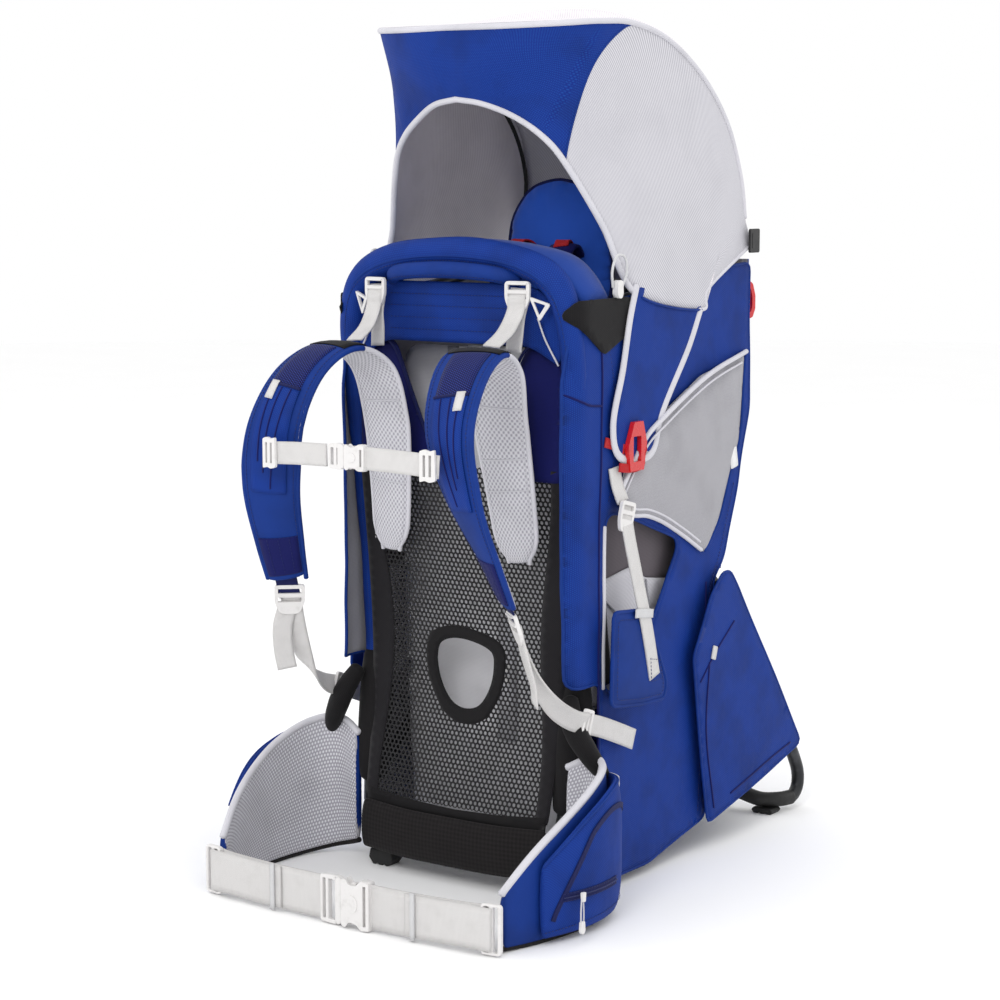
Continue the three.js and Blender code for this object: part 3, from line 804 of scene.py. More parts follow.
# Brushed microfleece on the pad that the child's chin touches: matt, with a little soft sheen.
FLEECE_BLUE = cloth("microfleece_pale_blue", "0f3488", "1c469c", 0.9, (20, 110), 0.05, 0.75, 0.15)
# Brushed tricot on the child's head support: painted paler than the pack cloth, as painted light that offsets
# the sunshade's shade over it.
HEAD_CLOTH = cloth("brushed_tricot_blue_painted_light", "1c4cb8", "2c5fca", 0.9, (20, 110), 0.05, 0.8, 0.2)
# Dyed nylon plain weave, navy: nearly black in shade, so the flares and patches set off the blue.
NAVY_CLOTH = cloth("nylon_navy", "060a46", "0e1560", 1.4, (0, 90), 0.08, 0.75, 0.03)
# Sunshade mesh, a light grey warp knit: fine diagonal ribs, and a matt face.
SHADE_MESH = cloth("warp_knit_light_grey", "a9a8b0", "d6d5da", 2.6, (32,), 0.12, 0.85, 0.1, "8c8c94",
                   0.1, puff=1.2)
# The inner face of the same knit: warmer, and painted far paler than its taupe, as painted light for daylight
# shining through the mesh.
SHADE_INSIDE = cloth("warp_knit_taupe_painted_light", "d8d2d8", "eeeaee", 2.6, (32,), 0.1, 0.9, 0.1, "8f898f",
                     0.2, puff=1.2)
# Spacer knits that touch the wearer: cells with darker hollows between raised pale yarns, six-sided
# on the belt and diamonds on the shoulder pads.
SPACER_HEX = cloth("spacer_knit_hexagon", "bdbcc4", "e3e2e8", 3.6, (0, 60, 120), 0.4, 0.9, 0.15,
                   hollow="a09fa7")
SPACER_DIAMOND = cloth("spacer_knit_diamond", "b2b1b9", "d6d5da", 4.2, (38, 142), 0.4, 0.9, 0.15,
                       hollow="9b9aa2")
# Stretch mesh of the side pockets, elastane and nylon: mid grey, with a small open grain.
POCKET_MESH = cloth("stretch_mesh_grey", "8f8e94", "b8b7bc", 1.8, (30, 150), 0.12, 0.85, 0.1,
                    hollow="807f85", puff=2.0)
# Black cloths of the suspended back: knotless mesh, plain nylon, and foam die cut in a square grid.
BLACK_MESH = cloth("knotless_mesh_black", "111012", "262428", 1.6, (45, 135), 0.1, 0.85, 0.08)
BLACK_CLOTH = cloth("nylon_black", "0f0e0f", "1d1b1e", 1.6, (0, 60, 120), 0.1, 0.8, 0.05)
BLACK_FOAM = cloth("die_cut_foam_black", "141213", "221f20", 5.0, (0, 90), 0.2, 0.9, 0.06, puff=0.8)
# Polyester taffeta linings, thin and matt with soft puckers: grey behind the blue cloth, and brownish in
# the leg openings. The pale one inside the cockpit is painted light: far paler than the real grey
# lining, it stands for light seen through the back net.
GREY_LINING = cloth("polyester_lining_grey", "8c8b91", "a6a5ab", 1.5, (0, 90), 0.06, 0.85, 0.1, puff=1.2)
LINING_PALE = cloth("polyester_lining_pale_painted_light", "dcdbe0", "f0eff3", 1.5, (0, 90), 0.06, 0.85, 0.1, puff=1.2)
TAUPE_LINING = cloth("polyester_lining_taupe", "4b454a", "665f65", 1.5, (0, 90), 0.06, 0.85, 0.1, puff=1.2)
# Stretch mesh of the shoulder pockets: navy, with darker holes that read as small dots.
NAVY_MESH = cloth("stretch_mesh_navy", "0c1252", "2a3a90", 2.4, (0, 60, 120), 0.25, 0.8, 0.05,
                  hollow="060930")
# Folded polyester tape round the cut edges: light grey, with a faint slanting rib.
BINDING = cloth("folded_tape_light_grey", "c0bfc6", "dad9df", 1.3, (60,), 0.08, 0.75, 0.1, puff=0.2)
# Woven polypropylene and polyester tapes: ribs across them, drawn at 1.2 to 1.3 mm so that they show.
WEBBING = woven_tape("webbing_off_white", "c6c4c3", "ebe9e8")
RED_TAPE = woven_tape("webbing_red", "a3141c", "d32c31", 1.2)
NAVY_TAPE = woven_tape("webbing_navy", "050c40", "0e1a5c", 1.2, dust=0.0)
# Bonded nylon thread: smooth and slightly glossy.
THREAD_PALE = moulded("bonded_thread_pale", "c3c2c8", 0.6, 0.3, 0.02)
THREAD_BLUE = moulded("bonded_thread_blue", "06195c", 0.6, 0.3, 0.02)
# Acetal, moulded with a satin finish, on the buckles and cord ends, and glossier on the red hooks.
ACETAL = moulded("acetal_off_white", "dddbda", 0.38, 0.5, 0.02, "cfcdcb")
RED_ACETAL = moulded("acetal_red", "c81a1e", 0.25, 0.8, 0.02, "b01418", Coat_Weight=0.3)
# Drawn and anodised aluminium tube: dark grey, with soft highlights along its length.
TUBE_METAL = anodised("anodised_aluminium_dark", "333436", "55565a")
# Moulded rubber and the sunshade's sleeved rod: matt black, with a pebbled grain.
RUBBER = moulded("moulded_rubber_black", "161616", 0.62, 0.8, 0.06, "232323")
# Satin-woven label, blank: near white, and smoother than the cloth that it is sewn to.
LABEL = cloth("printed_satin_label_blank", "dcdcdc", "eeeeee", 0.8, (0,), 0.03, 0.55, 0.1, puff=0.3)
# Moulded thermoplastic tag, blank: black, with a low sheen.
TAG_BLACK = moulded("moulded_tag_black", "121213", 0.45, 0.8, 0.03)
# Braided elastic over rubber strands: white, with a fine rib.
ELASTIC = woven_tape("elastic_cord_white", "c9c9cc", "ededed", 0.9)
# Stamped steel with powder paint on the hinge brackets: black, with a fine orange-peel gloss.
BRACKET = moulded("painted_steel_black", "202123", 0.4, 0.5, 0.02, "303134", Metallic=0.4)
# Heat-set polyester yarn of the open back net: dull black.
BLACK_NET = moulded("knitted_net_black", "18171a", 0.8, 1.2, 0.1, "242326")
# Nylon coil of the zips: navy, with small glints along its teeth.
ZIP_TEETH = moulded("coil_zip_nylon_navy", "20295e", 0.45, 0.4, 0.02)
BLUE_LINED = [PACK_CLOTH, GREY_LINING]  # outer face and lining
ROW_TREE = row_tree()
NET_TREE = net_tree()


# ---- camera, light and floor


def studio():
    """A pale floor and sky, four soft lamps and the camera."""
    bpy.context.scene.view_settings.view_transform = "Standard"
    camera = placed("camera", bpy.data.cameras.new("camera"))
    camera.data.lens, camera.data.sensor_width = 85.97, 36.0
    camera.location = at([1547, -2133, 790])
    camera.rotation_euler = (math.radians(90 - 7.7), 0, math.radians(35))
    bpy.context.scene.camera = camera

    floor_mesh = bpy.data.meshes.new("floor")
    ring = [(x, y, 0) for x, y in ringed(9.0, 48)]
    floor_mesh.from_pydata(ring, [], [tuple(range(48))])
    floor = placed("floor", floor_mesh)
    paper, tree, bsdf = begin("paper_floor_pale", 0.9)
    tree.links.new(tint(tree, speckle(tree, 300), "fcfcfc", "ffffff"), bsdf.inputs["Base Color"])
    floor_mesh.materials.append(paper)
    floor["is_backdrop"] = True

    world = bpy.data.worlds.new("studio")
    world.use_nodes = True
    world.node_tree.nodes["Background"].inputs["Color"].default_value = linear("ffffff")
    world.node_tree.nodes["Background"].inputs["Strength"].default_value = 1.0
    bpy.context.scene.world = world
    for name, place, size, power in (
        ("key", (900, -2600, 2300), 1.3, 26),
        ("fill", (-2600, -1500, 1500), 2.2, 6),
        ("top", (300, 300, 3200), 2.4, 12),
        ("back", (1500, 2400, 1800), 1.8, 8),
    ):
        lamp = bpy.data.lights.new(name, "AREA")
        lamp.shape, lamp.size, lamp.energy = "DISK", size, power
        obj = placed(name, lamp)
        obj.location = at(place)
        aim = Vector(at([0, 120, 450])) - obj.location
        obj.rotation_euler = aim.to_track_quat("-Z", "Y").to_euler()


studio()


# ---- frame and kickstand

FRONT_HALF = [
    (0, -2, 27), (90, -2, 27), (122, 0, 36), (134, 8, 90), (138, 22, 190), (141, 26, 290),
    (145, 18, 420), (149, 4, 550), (148, -4, 625), (133, -7, 674), (96, -8, 697), (0, -9, 709),
]
HOOP_X = 146
HOOP_PATH = [
    (148, 14, 632), (HOOP_X, 60, 646), (HOOP_X, 180, 668), (HOOP_X, 300, 686), (HOOP_X, 336, 676),
    (HOOP_X, 346, 640), (HOOP_X, 346, 540), (HOOP_X, 324, 430), (HOOP_X, 290, 322),
    (HOOP_X, 262, 280), (HOOP_X, 180, 214), (144, 70, 124), (137, 26, 96),
]
STAND_X = 163
STAND_HALF = [
    (0, 434, 48), (60, 436, 38), (110, 440, 25), (140, 446, 17), (158, 462, 16), (STAND_X, 484, 15),
    (STAND_X, 499, 25), (STAND_X, 501, 42), (STAND_X, 488, 68), (STAND_X, 465, 98),
    (STAND_X, 385, 199), (STAND_X, 293, 313.5),
]


def whole(half):
    """A line across both sides, from a right half that starts in the middle."""
    return [*reversed([(-x, y, z) for x, y, z in half[1:]]), *half]


def front_loop(count):
    """The centre line of the front frame's closed tube."""
    return smooth_line([*FRONT_HALF, *[(-x, y, z) for x, y, z in FRONT_HALF[-2:0:-1]]], count, closed=True)


def frame_tubes():
    """The bent tubes: the front frame, the cockpit's hoops with their cross bar, and the kickstand."""
    side = tube(smooth_line(HOOP_PATH, 120), 7, 14)
    bar = tube(smooth_line([(-140, 344, 652), (0, 344, 652), (140, 344, 652)], 12), 6, 14)
    for name, shape, body, node in (
        ("front_frame_tube", tube(front_loop(220), 8, 16, closed=True), "frame", "perimeter_frame"),
        ("cockpit_hoop_tube", merged([side, side.mirror(), bar]), "frame", "cockpit_hoop"),
        ("kickstand_bent_tube", tube(smooth_line(whole(STAND_HALF), 200), 8, 16), "kickstand",
         "kickstand_tube"),
    ):
        ridden(piece(name, shape, TUBE_METAL), body, "frame_tube", [node])


def rubber_feet():
    """Moulded feet: a rounded block with grip grooves across its sole."""
    front = [(96, 0), (100, 0), (101, 1.5), (103, 1.5), (104, 0), (110, 0), (111, 1.5), (113, 1.5),
             (114, 0), (118, 0), (124, 8), (122, 18), (92, 18), (90, 8)]
    shape = plate(front, facing(-2))
    pair("foot_front", shape, RUBBER, "frame", "rubber", "front_foot", thick=21, bevel=1.8, flat=True)
    rear = [(134, 0), (140, 0), (141, 1.5), (143, 1.5), (144, 0), (149, 0), (150, 1.5), (152, 1.5),
            (153, 0), (158, 0), (161, 4), (158, 7), (134, 7.5), (131, 4)]
    shape = plate(rear, facing(450))
    sleeve = tube(smooth_line([(114, 440, 24), (140, 446, 17), (158, 462, 16), (163, 482, 15)], 24), 9.2, 16)
    pair("foot_kickstand", shape, RUBBER, "kickstand", "rubber", "kickstand_foot", thick=23, bevel=1.4,
         flat=True)
    pair("foot_sleeve", sleeve, RUBBER, "kickstand", "rubber")


# ---- sunshade

TOP_SIDE = [
    (158, 352, 742), (153, 350, 790), (150, 322, 852), (150, 264, 904), (150, 190, 941), (150, 115, 956),
]
LOW_SIDE = [(168, 352, 712), (168, 252, 664), (168, 236, 640), (167, 96, 664), (143, 66, 738), (114, 35, 806)]
TOP_FRONT = [(143, 62, 956), (120, 15, 952), (62, -20, 949), (0, -29, 949)]
LOW_FRONT = [(92, 22, 835), (62, 11, 856), (31, -2, 869), (0, -7, 874)]
CROWN = [4, 30, 100, 72, 36, 6, 0, 0]
BULGE = [4, 22, 24, 8, 0, 0, -2, -3]


def shade_point(a, b):
    """A point of the sunshade's right half. a runs from its rear edge, 0, round to the middle of the
    front, 9, and b from its top edge, 0, to its lower edge, 1. It bellies out a little."""
    top, low = spline_at(TOP_SIDE + TOP_FRONT, a), spline_at(LOW_SIDE + LOW_FRONT, a)
    b = np.asarray(b, float)[..., None]
    a = np.asarray(a, float)[..., None]
    out = np.where(a < 6, [1.0, 0, 0], [0.35, -0.9, 0.2])
    return top * (1 - b) + low * b + out * 7 * np.sin(np.pi * b) * np.clip(np.minimum(a, 9.6 - a), 0, 1)


def seam_place(b):
    """Where the blue front meets the mesh side."""
    return 5 + 0.72 * np.sin(np.pi * np.asarray(b) ** 0.75)


def sunshade():
    """Mesh sides, tails, blue front, mesh top, bindings, seams and the spring rod."""
    b = np.linspace(0, 1, 27)
    u = np.linspace(0, 1, 49)
    side = shade_point(u[:, None] * seam_place(b)[None], np.tile(b, (len(u), 1)))
    shape = grid(side[:, ::-1])
    hem = [(96, 672), (84, 640), (69, 582), (50, 523), (58, 492), (98, 478), (133, 488), (150, 526),
           (210, 601), (234, 640)]
    tail_line = rounded([(236, 648), *hem], 10)
    both = pair("sunshade_mesh_side", shape, [SHADE_MESH, SHADE_INSIDE], "sunshade", "grey_mesh",
                "sunshade_side", thick=1.6, rim=(1, 0))
    as_sheet(both, shape, "stretched", ["sunshade_spring_rod"])
    tail = cloth_panel(tail_line, on_side(168), 9)
    both = pair("sunshade_tail", tail, BLUE_LINED, "sunshade", "blue_cloth", thick=1.8, rim=(1, 0))
    as_sheet(both, tail, "hung", ["sunshade_mesh_side_right"])
    edge = on_side(168.4)(smooth_line(hem, 90))
    edge = tube(edge, 5.0, 10, side=(1, 0, 0), flat=0.5)
    pair("sunshade_tail_binding", edge, BINDING, "sunshade", "webbing")
    joint = spline_at(LOW_SIDE, np.linspace(2, 2.9, 30)) + [1.2, 0, 0]
    pair("sunshade_tail_seam", tube(joint, 1.5, 6), PLAIN_BLUE, "sunshade", "blue_cloth")

    half = shade_point(seam_place(b)[None] + u[:, None] * (9 - seam_place(b))[None], np.tile(b, (len(u), 1)))
    front = grid(np.concatenate([half, mirrored(half[-2::-1])])[:, ::-1])
    blue = piece("sunshade_blue_front", front, [PACK_CLOTH, SHADE_INSIDE], thick=1.6, rim=(1, 0))
    ridden(blue, "sunshade", "blue_cloth", ["sunshade_visor"])
    as_sheet(blue, front, "stretched", ["sunshade_spring_rod"])

    a = np.linspace(0, 7, 57)
    s = np.linspace(-1, 1, 41)
    edge = spline_at(TOP_SIDE + TOP_FRONT, a)
    crown = spline_at(np.array(CROWN)[:, None], a)
    bulge = spline_at(np.array(BULGE)[:, None], a)
    arch = (1 - np.abs(s) ** 2.3)[None]
    rear = np.where(a[:, None] < 2, 3 * (1 - a[:, None] / 2), 0)
    rows = np.stack([s[None] * (edge[:, :1] - 2), edge[:, 1:2] + bulge * arch + rear,
                     edge[:, 2:] + 2.5 + crown * arch], 2)
    shape = grid(rows)
    top = piece("sunshade_mesh_top", shape, [SHADE_MESH, SHADE_INSIDE], thick=1.6, rim=(1, 0))
    ridden(top, "sunshade", "grey_mesh", ["sunshade_top"])
    as_sheet(top, shape, "stretched", ["sunshade_spring_rod"])

    places = np.linspace(0, 9, 160)
    top = spline_at(TOP_SIDE + TOP_FRONT, places)
    low = spline_at(LOW_SIDE + LOW_FRONT, np.linspace(3, 9, 110))
    rear_low = spline_at(LOW_SIDE + LOW_FRONT, np.linspace(0, 2, 40))
    binding = [
        tube(np.concatenate([top, mirrored(top[-2::-1])]), 3.4, 8),
        tube(np.concatenate([low, mirrored(low[-2::-1])]), 3.6, 8),
        tube(rear_low, 2.4, 8), tube(mirrored(rear_low), 2.4, 8),
        tube(rows[0], 2.8, 8),
    ]
    ridden(piece("sunshade_binding", merged(binding), BINDING), "sunshade", "webbing")
    seam = shade_point(seam_place(b), b)
    seams = merged([tube(seam, 1.5, 6), tube(mirrored(seam), 1.5, 6)])
    ridden(piece("sunshade_seam", seams, PLAIN_BLUE), "sunshade", "blue_cloth")
    rod = [
        (0, -14, 942), (58, -8, 942), (108, 22, 943), (134, 62, 946), (141, 118, 946), (141, 186, 931),
        (141, 256, 894), (141, 311, 842), (144, 338, 788), (150, 342, 740), (152, 346, 716),
    ]
    rod = piece("sunshade_spring_rod", tube(smooth_line(whole(rod), 140), 2.5, 10), RUBBER)
    ridden(rod, "sunshade", "rubber", ["sunshade_rod"])


# ---- child's cockpit

LEG_HOLE = [(44, 224), (44, 424), (76, 424), (206, 378), (152, 300), (96, 224)]
SIDE_OUTLINE = [
    (-18, 240), (-20, 400), (-22, 560), (-12, 628), (30, 652), (109, 662), (220, 672), (320, 688),
    (361, 690), (361, 520), (338, 430), (306, 345), (284, 322), (284, 296), (268, 38), (142, 12),
    (44, 12), (36, 40), (36, 240),
]


def side_x(y, z):
    """How far out the side cloth lies. Its front edge wraps inwards round the column."""
    return 161.5 - 14 * np.clip((6 - y) / 26, 0, 1) ** 2


def side_panels():
    """The cloth over each side, with a leg opening, turned edges and seams."""
    outline = rounded(SIDE_OUTLINE, 12)
    hole = rounded(LEG_HOLE, 22)
    loose = (2.2, 60, (1, 0, 0), 3)
    shape = rumpled(cloth_panel(outline, on_side(side_x), 9, [hole]), *loose)
    both = pair("side_panel_cloth", shape, BLUE_LINED, "frame", "blue_cloth", "side_panel", thick=2.2,
                rim=(1, 0))
    as_sheet(both, shape, "stretched", ["column_sleeve"])
    turned = merged([
        tube(rumple(on_side(side_x)(resampled(line, 6)), *loose), 1.9, 8, closed=True, side=(1, 0, 0))
        for line in (outline, hole)
    ])
    pair("side_panel_turned_edge", turned, PLAIN_BLUE)
    strip = rumple(on_side(side_x)(smooth_line([(43, 232), (43, 330), (44, 412)], 40)), *loose)
    pair("leg_opening_binding", tube(strip + [0.8, -1, 0], 2.7, 8), BINDING, "frame", "webbing")
    ridge = [rumple(on_side(side_x)(smooth_line(line, 50)), *loose) + [1.4, 0, 0] for line in (
        [(26, 652), (34, 600), (34, 500), (32, 430), (32, 60)], [(-20, 560), (8, 548), (34, 545)],
        [(266, 320), (266, 60)])]
    ridge = merged([tube(line, 1.3, 6) for line in ridge])
    pair("side_panel_seams", ridge, NAVY_CLOTH)


def inner_panels():
    """The lining in front of the child, and the rear cloth with its stretch pocket."""
    front = rounded([(-112, 36), (112, 36), (126, 300), (130, 560), (118, 600), (-118, 600), (-130, 560),
                     (-126, 300)], 16)
    shape = cloth_panel(front, facing(64), 12)
    rumpled(shape, 3, 70, (0, 1, 0), 9)
    # The pale lining is painted light: it stands for daylight seen through the back net.
    wall = piece("cockpit_lining", shape, LINING_PALE, thick=3)
    ridden(wall, "frame", "grey_mesh", ["cockpit_front_panel"])
    as_sheet(wall, shape, "hung", ["front_frame_tube"])

    rear = spline_at([(362, 694), (364, 600), (364, 520), (341, 430), (309, 346), (304, 331)],
                     np.linspace(0, 5, 40))
    x = np.linspace(-158, 158, 33)
    rows = np.stack(
        [np.tile(x, (len(rear), 1)),
         rear[:, :1] + 1.5 + 5 * (1 - (x / 158) ** 4)[None] * np.sin(np.linspace(0, np.pi, 40))[:, None],
         np.tile(rear[:, 1:], (1, 33))], 2)
    shape = grid(rows)
    back = piece("rear_cloth", shape, BLUE_LINED, thick=3, rim=(1, 0))
    ridden(back, "frame", "blue_cloth", ["rear_panel"])
    as_sheet(back, shape, "stretched", ["cockpit_hoop_tube"])
    pocket = rounded(block(-104, 104, 352, 520), 14)

    def rear_y(p, lift):
        return np.interp(p[:, 1], rear[::-1, 1], rear[::-1, 0]) + 8 + lift

    cover = cloth_panel(pocket, lambda p: np.stack([p[:, 0], rear_y(p, 1.5), p[:, 1]], 1), 9).mirror()
    obj = piece("rear_pocket_cloth", cover, BLUE_LINED, thick=1.8, rim=(1, 0))
    as_sheet(ridden(obj, "frame", "blue_cloth"), cover, "stretched", ["rear_cloth"])
    hem = np.array([(x, 0, 520) for x in np.linspace(-100, 100, 30)])
    hem[:, 1] = rear_y(hem[:, [0, 2]], 2.2)
    ridden(piece("rear_pocket_hem", tube(hem, 3.2, 8), NAVY_TAPE), "frame", "blue_cloth")
    border = resampled(rounded(block(-97, 97, 359, 510), 12), 5)
    around = np.stack([border[:, 0], rear_y(border, 3.2), border[:, 1]], 1)
    stitched("rear_pocket_stitching", [np.concatenate([around, around[:1]])], mirror=False)


def kickstand_cloth():
    """The gussets and the cloth across the kickstand, which turn with it."""
    gusset = rounded([(302, 330), (322, 308), (486, 90), (478, 84), (256, 34), (216, 240), (256, 306),
                      (284, 330)], 8)
    lie = on_side(lambda y, z: 174 + 1.5 * np.sin(y / 45) * np.sin(z / 60))
    shape = cloth_panel(gusset, lie, 9)
    both = pair("kickstand_gusset", shape, [PACK_CLOTH, PLAIN_BLUE], "kickstand", "blue_cloth", "gusset",
                thick=2, rim=(1, 0))
    as_sheet(both, shape, "stretched", ["kickstand_bent_tube"])
    edge = tube(lie(resampled(gusset, 6)), 1.7, 8, closed=True, side=(1, 0, 0))
    pair("kickstand_gusset_edge", edge, PLAIN_BLUE, "kickstand", "blue_cloth")
    seams = merged([tube(lie(smooth_line(line, 50)) + [1.2, 0, 0], 1.2, 6) for line in (
        [(312, 268), (264, 236), (232, 208)], [(252, 228), (248, 150), (268, 50)],
        [(306, 60), (400, 82), (458, 92)])])
    pair("kickstand_gusset_seams", seams, NAVY_CLOTH, "kickstand", "blue_cloth")
    tab = frame_of((176.6, 262, 238), (0, 0.9, -0.3), (0, 0.3, 0.9))
    pair("gusset_tab", plate(round_box(-5, 5, -8, 8, 2), tab), WEBBING, "kickstand", "webbing", thick=1.4)
    top, mid, low = ([(-x, y, z), (0, y2, z2), (x, y, z)] for x, y, z, y2, z2 in (
        (146, 305, 283, 305, 283), (146, 430, 122, 426, 122), (52, 424, 60, 420, 64)))
    t = np.linspace(0, 1, 25)
    lines = [smooth_line(line, 31) for line in (top, mid, low)]
    rows = [lines[0] * (1 - s) + lines[1] * s for s in t]
    for s in t[1:]:
        row = lines[1] * (1 - s) + lines[2] * s
        row[:, 0] = lines[1][:, 0] * (1 - s**2.4) + lines[2][:, 0] * s**2.4
        rows.append(row)
    shape = grid(np.array(rows)[:, ::-1])
    rumpled(shape, 3, 60, (0, 0.8, 0.6), 5)
    front = piece("kickstand_cloth", shape, [PACK_CLOTH, PLAIN_BLUE], thick=2.6, rim=(1, 0))
    as_sheet(ridden(front, "kickstand", "blue_cloth", ["kickstand_panel"]), shape, "stretched",
             ["kickstand_bent_tube"])


# ---- hip belt

WING = np.array([
    (146, -8, 22, 150), (176, -4, 12, 164), (198, -24, 5, 160), (207, -62, 3, 146),
    (206, -104, 3, 126), (197, -150, 3, 98), (184, -190, 4, 62),
], float)
WING_T = 11


def wing_at(places):
    """Plan points, outward normals, and lower and upper edges of the wing at places along it."""
    s = spline_at(WING, places)
    along = unit(np.gradient(s[:, :2], axis=0))
    return s[:, :2], np.stack([-along[:, 1], along[:, 0]], 1), s[:, 2], s[:, 3]


def wing_rings(places, inside_face, outside_face, low_gap=0.0, high_gap=0.0, count=9, round_share=0.5):
    """Closed rings round the wing between two distances outwards from its plan line."""
    plan, out, low, high = wing_at(places)
    inner = np.broadcast_to(np.asarray(inside_face, float), len(plan))
    outer = np.broadcast_to(np.asarray(outside_face, float), len(plan))
    low = low + low_gap
    high = high + high_gap
    rings = []
    h = np.linspace(0, 1, count)
    for p, n, d0, d1, z0, z1 in zip(plan, out, inner, outer, low, high):
        mid, half = (d0 + d1) / 2, (d1 - d0) / 2
        bow = 1 - round_share * np.abs(2 * h - 1) ** 4
        way = [(mid + half * w, t) for t, w in zip(h, bow)]
        way += [(mid - half * w, t) for t, w in zip(h[::-1], bow[::-1])]
        rings.append([(p[0] + n[0] * d, p[1] + n[1] * d, z0 + (z1 - z0) * t) for d, t in way])
    return np.array(rings)


def hip_belt():
    """The wings, with bindings along their edges, and the puffed pocket on each."""
    places = np.linspace(0, 6, 41)
    rings = wing_rings(places, 0, WING_T, count=15)
    n = rings.shape[1]
    shape = loft(rings, lambda i, j: 1 if j < n // 2 else 0, 1)
    faces = [SPACER_HEX, PLAIN_BLUE]
    for obj in pair("hip_wing_pad", shape, faces, "frame", "grey_mesh", "hip_wing", padded=0.7):
        softened(obj)
    plan, out, low, high = wing_at(places)
    for name, z, radius, tape, slot in (
        ("top", high, 4.2, BINDING, "webbing"), ("low", low, 3.2, BLACK_FOAM, "black_mesh"),
    ):
        line = np.stack([*(plan + out * WING_T / 2).T, z], 1)
        pair(f"hip_wing_{name}_binding", tube(line, radius, 8), tape, "frame", slot)
    share = spline_at(np.array([0.05, 0.8, 1, 0.9, 0.3])[:, None], np.linspace(0, 4, 33))[:, 0]
    rings = wing_rings(np.linspace(1, 5, 33), WING_T + 0.7, WING_T + 4 + 15 * share, 5,
                       -14 + 10 * share**2, count=13, round_share=0.75)
    plan = wing_at(np.linspace(0, 6, 80))[0]

    def next_to_wing(p):
        away = np.abs(p[:, None, :1]) * [1, 0] + p[:, None, 1:2] * [0, 1] - plan
        return np.min(np.linalg.norm(away, axis=2), 1) < WING_T + 5

    for obj in pair("hip_pocket_pouch", loft(rings), PACK_CLOTH, "frame", "blue_cloth", "hip_pocket"):
        puffed(obj, next_to_wing, pressure=3.0, cap=5)
    down = np.linspace(0, 1, 10)[:, None]
    across = np.linspace(0, 1, 8)[None]
    along = 1.02 + 0.25 * down + across * (0.75 - 0.7 * down)
    corner = pocket_point(along, 0.985 - 0.30 * down + 0 * across, 2.2)
    pair("hip_pocket_corner", grid(corner), BINDING, "frame", "webbing", thick=1.6)


# ---- shoulder harness

PAD_LINE = [
    (88, -12, 372), (82, -21, 450), (78, -35, 530), (84, -53, 585), (94, -96, 606), (105, -146, 584),
    (115, -178, 530), (129, -172, 460), (143, -142, 390), (150, -122, 348),
]


def pad_side(t):
    """The width direction of a shoulder pad at a share t of its length."""
    turn = np.clip((np.asarray(t, float)[..., None] - 0.5) * 2, 0, 1)
    return np.array([1, 0.1, 0]) * (1 - turn) + np.array([0.75, -0.66, 0]) * turn


def pad_width(t):
    return np.where(t < 0.25, 48 + 64 * t, np.where(t < 0.75, 64, 64 - 88 * (t - 0.75)))


def shoulder_pads():
    """The padded straps, with pale bindings behind and blue ones from the shoulder down."""
    t = np.linspace(0, 1, 90)
    line = smooth_line(PAD_LINE, 90)
    wide = pad_width(t) * np.sqrt(np.clip(1 - (1 - np.clip(t * 16, 0.15, 1)) ** 2, 0.1, 1))
    shape = ribbon(line, pad_side(t), wide, 5, crown=3.6, cols=10, slots=(0, 1))
    pair("shoulder_pad", shape, [PLAIN_BLUE, SPACER_DIAMOND], "harness", "blue_cloth", "shoulder_strap",
         padded=0.7, subdivide=1)
    side = unit(pad_side(t))
    for name, sign in (("outer", 1), ("inner", -1)):
        edge = line + side * (wide / 2 * sign)[:, None]
        pair(f"shoulder_pad_{name}_binding", tube(edge[40:], 2.8, 8), PLAIN_BLUE, "harness", "blue_cloth")
        pair(f"shoulder_pad_{name}_back_binding", tube(edge[:42], 2.6, 8), BINDING, "harness", "webbing")


# ---- the wearer's back

BACK_ROWS = [(122, -12, 84), (127, 8, 190), (130, 12, 290), (134, 4, 420), (134, -10, 540), (120, -16, 590)]


OVAL = [(-34, 250), (-30, 268), (-16, 276), (10, 275), (33, 264), (35, 245), (30, 220), (18, 200), (2, 195),
        (-14, 201), (-28, 222)]
NET_TOP = 484


def on_back(lift=0.0):
    """A place() that lays an outline drawn in (x, z) on the suspended back, lift mm in front of it."""
    heights = np.linspace(0, 5, 200)
    rows = spline_at(BACK_ROWS, heights)

    def place(p):
        half = np.interp(p[:, 1], rows[:, 2], rows[:, 0])
        y = np.interp(p[:, 1], rows[:, 2], rows[:, 1])
        return np.stack([p[:, 0], y - 4 * (1 - (p[:, 0] / half) ** 2) - lift, p[:, 1]], 1)
    return place


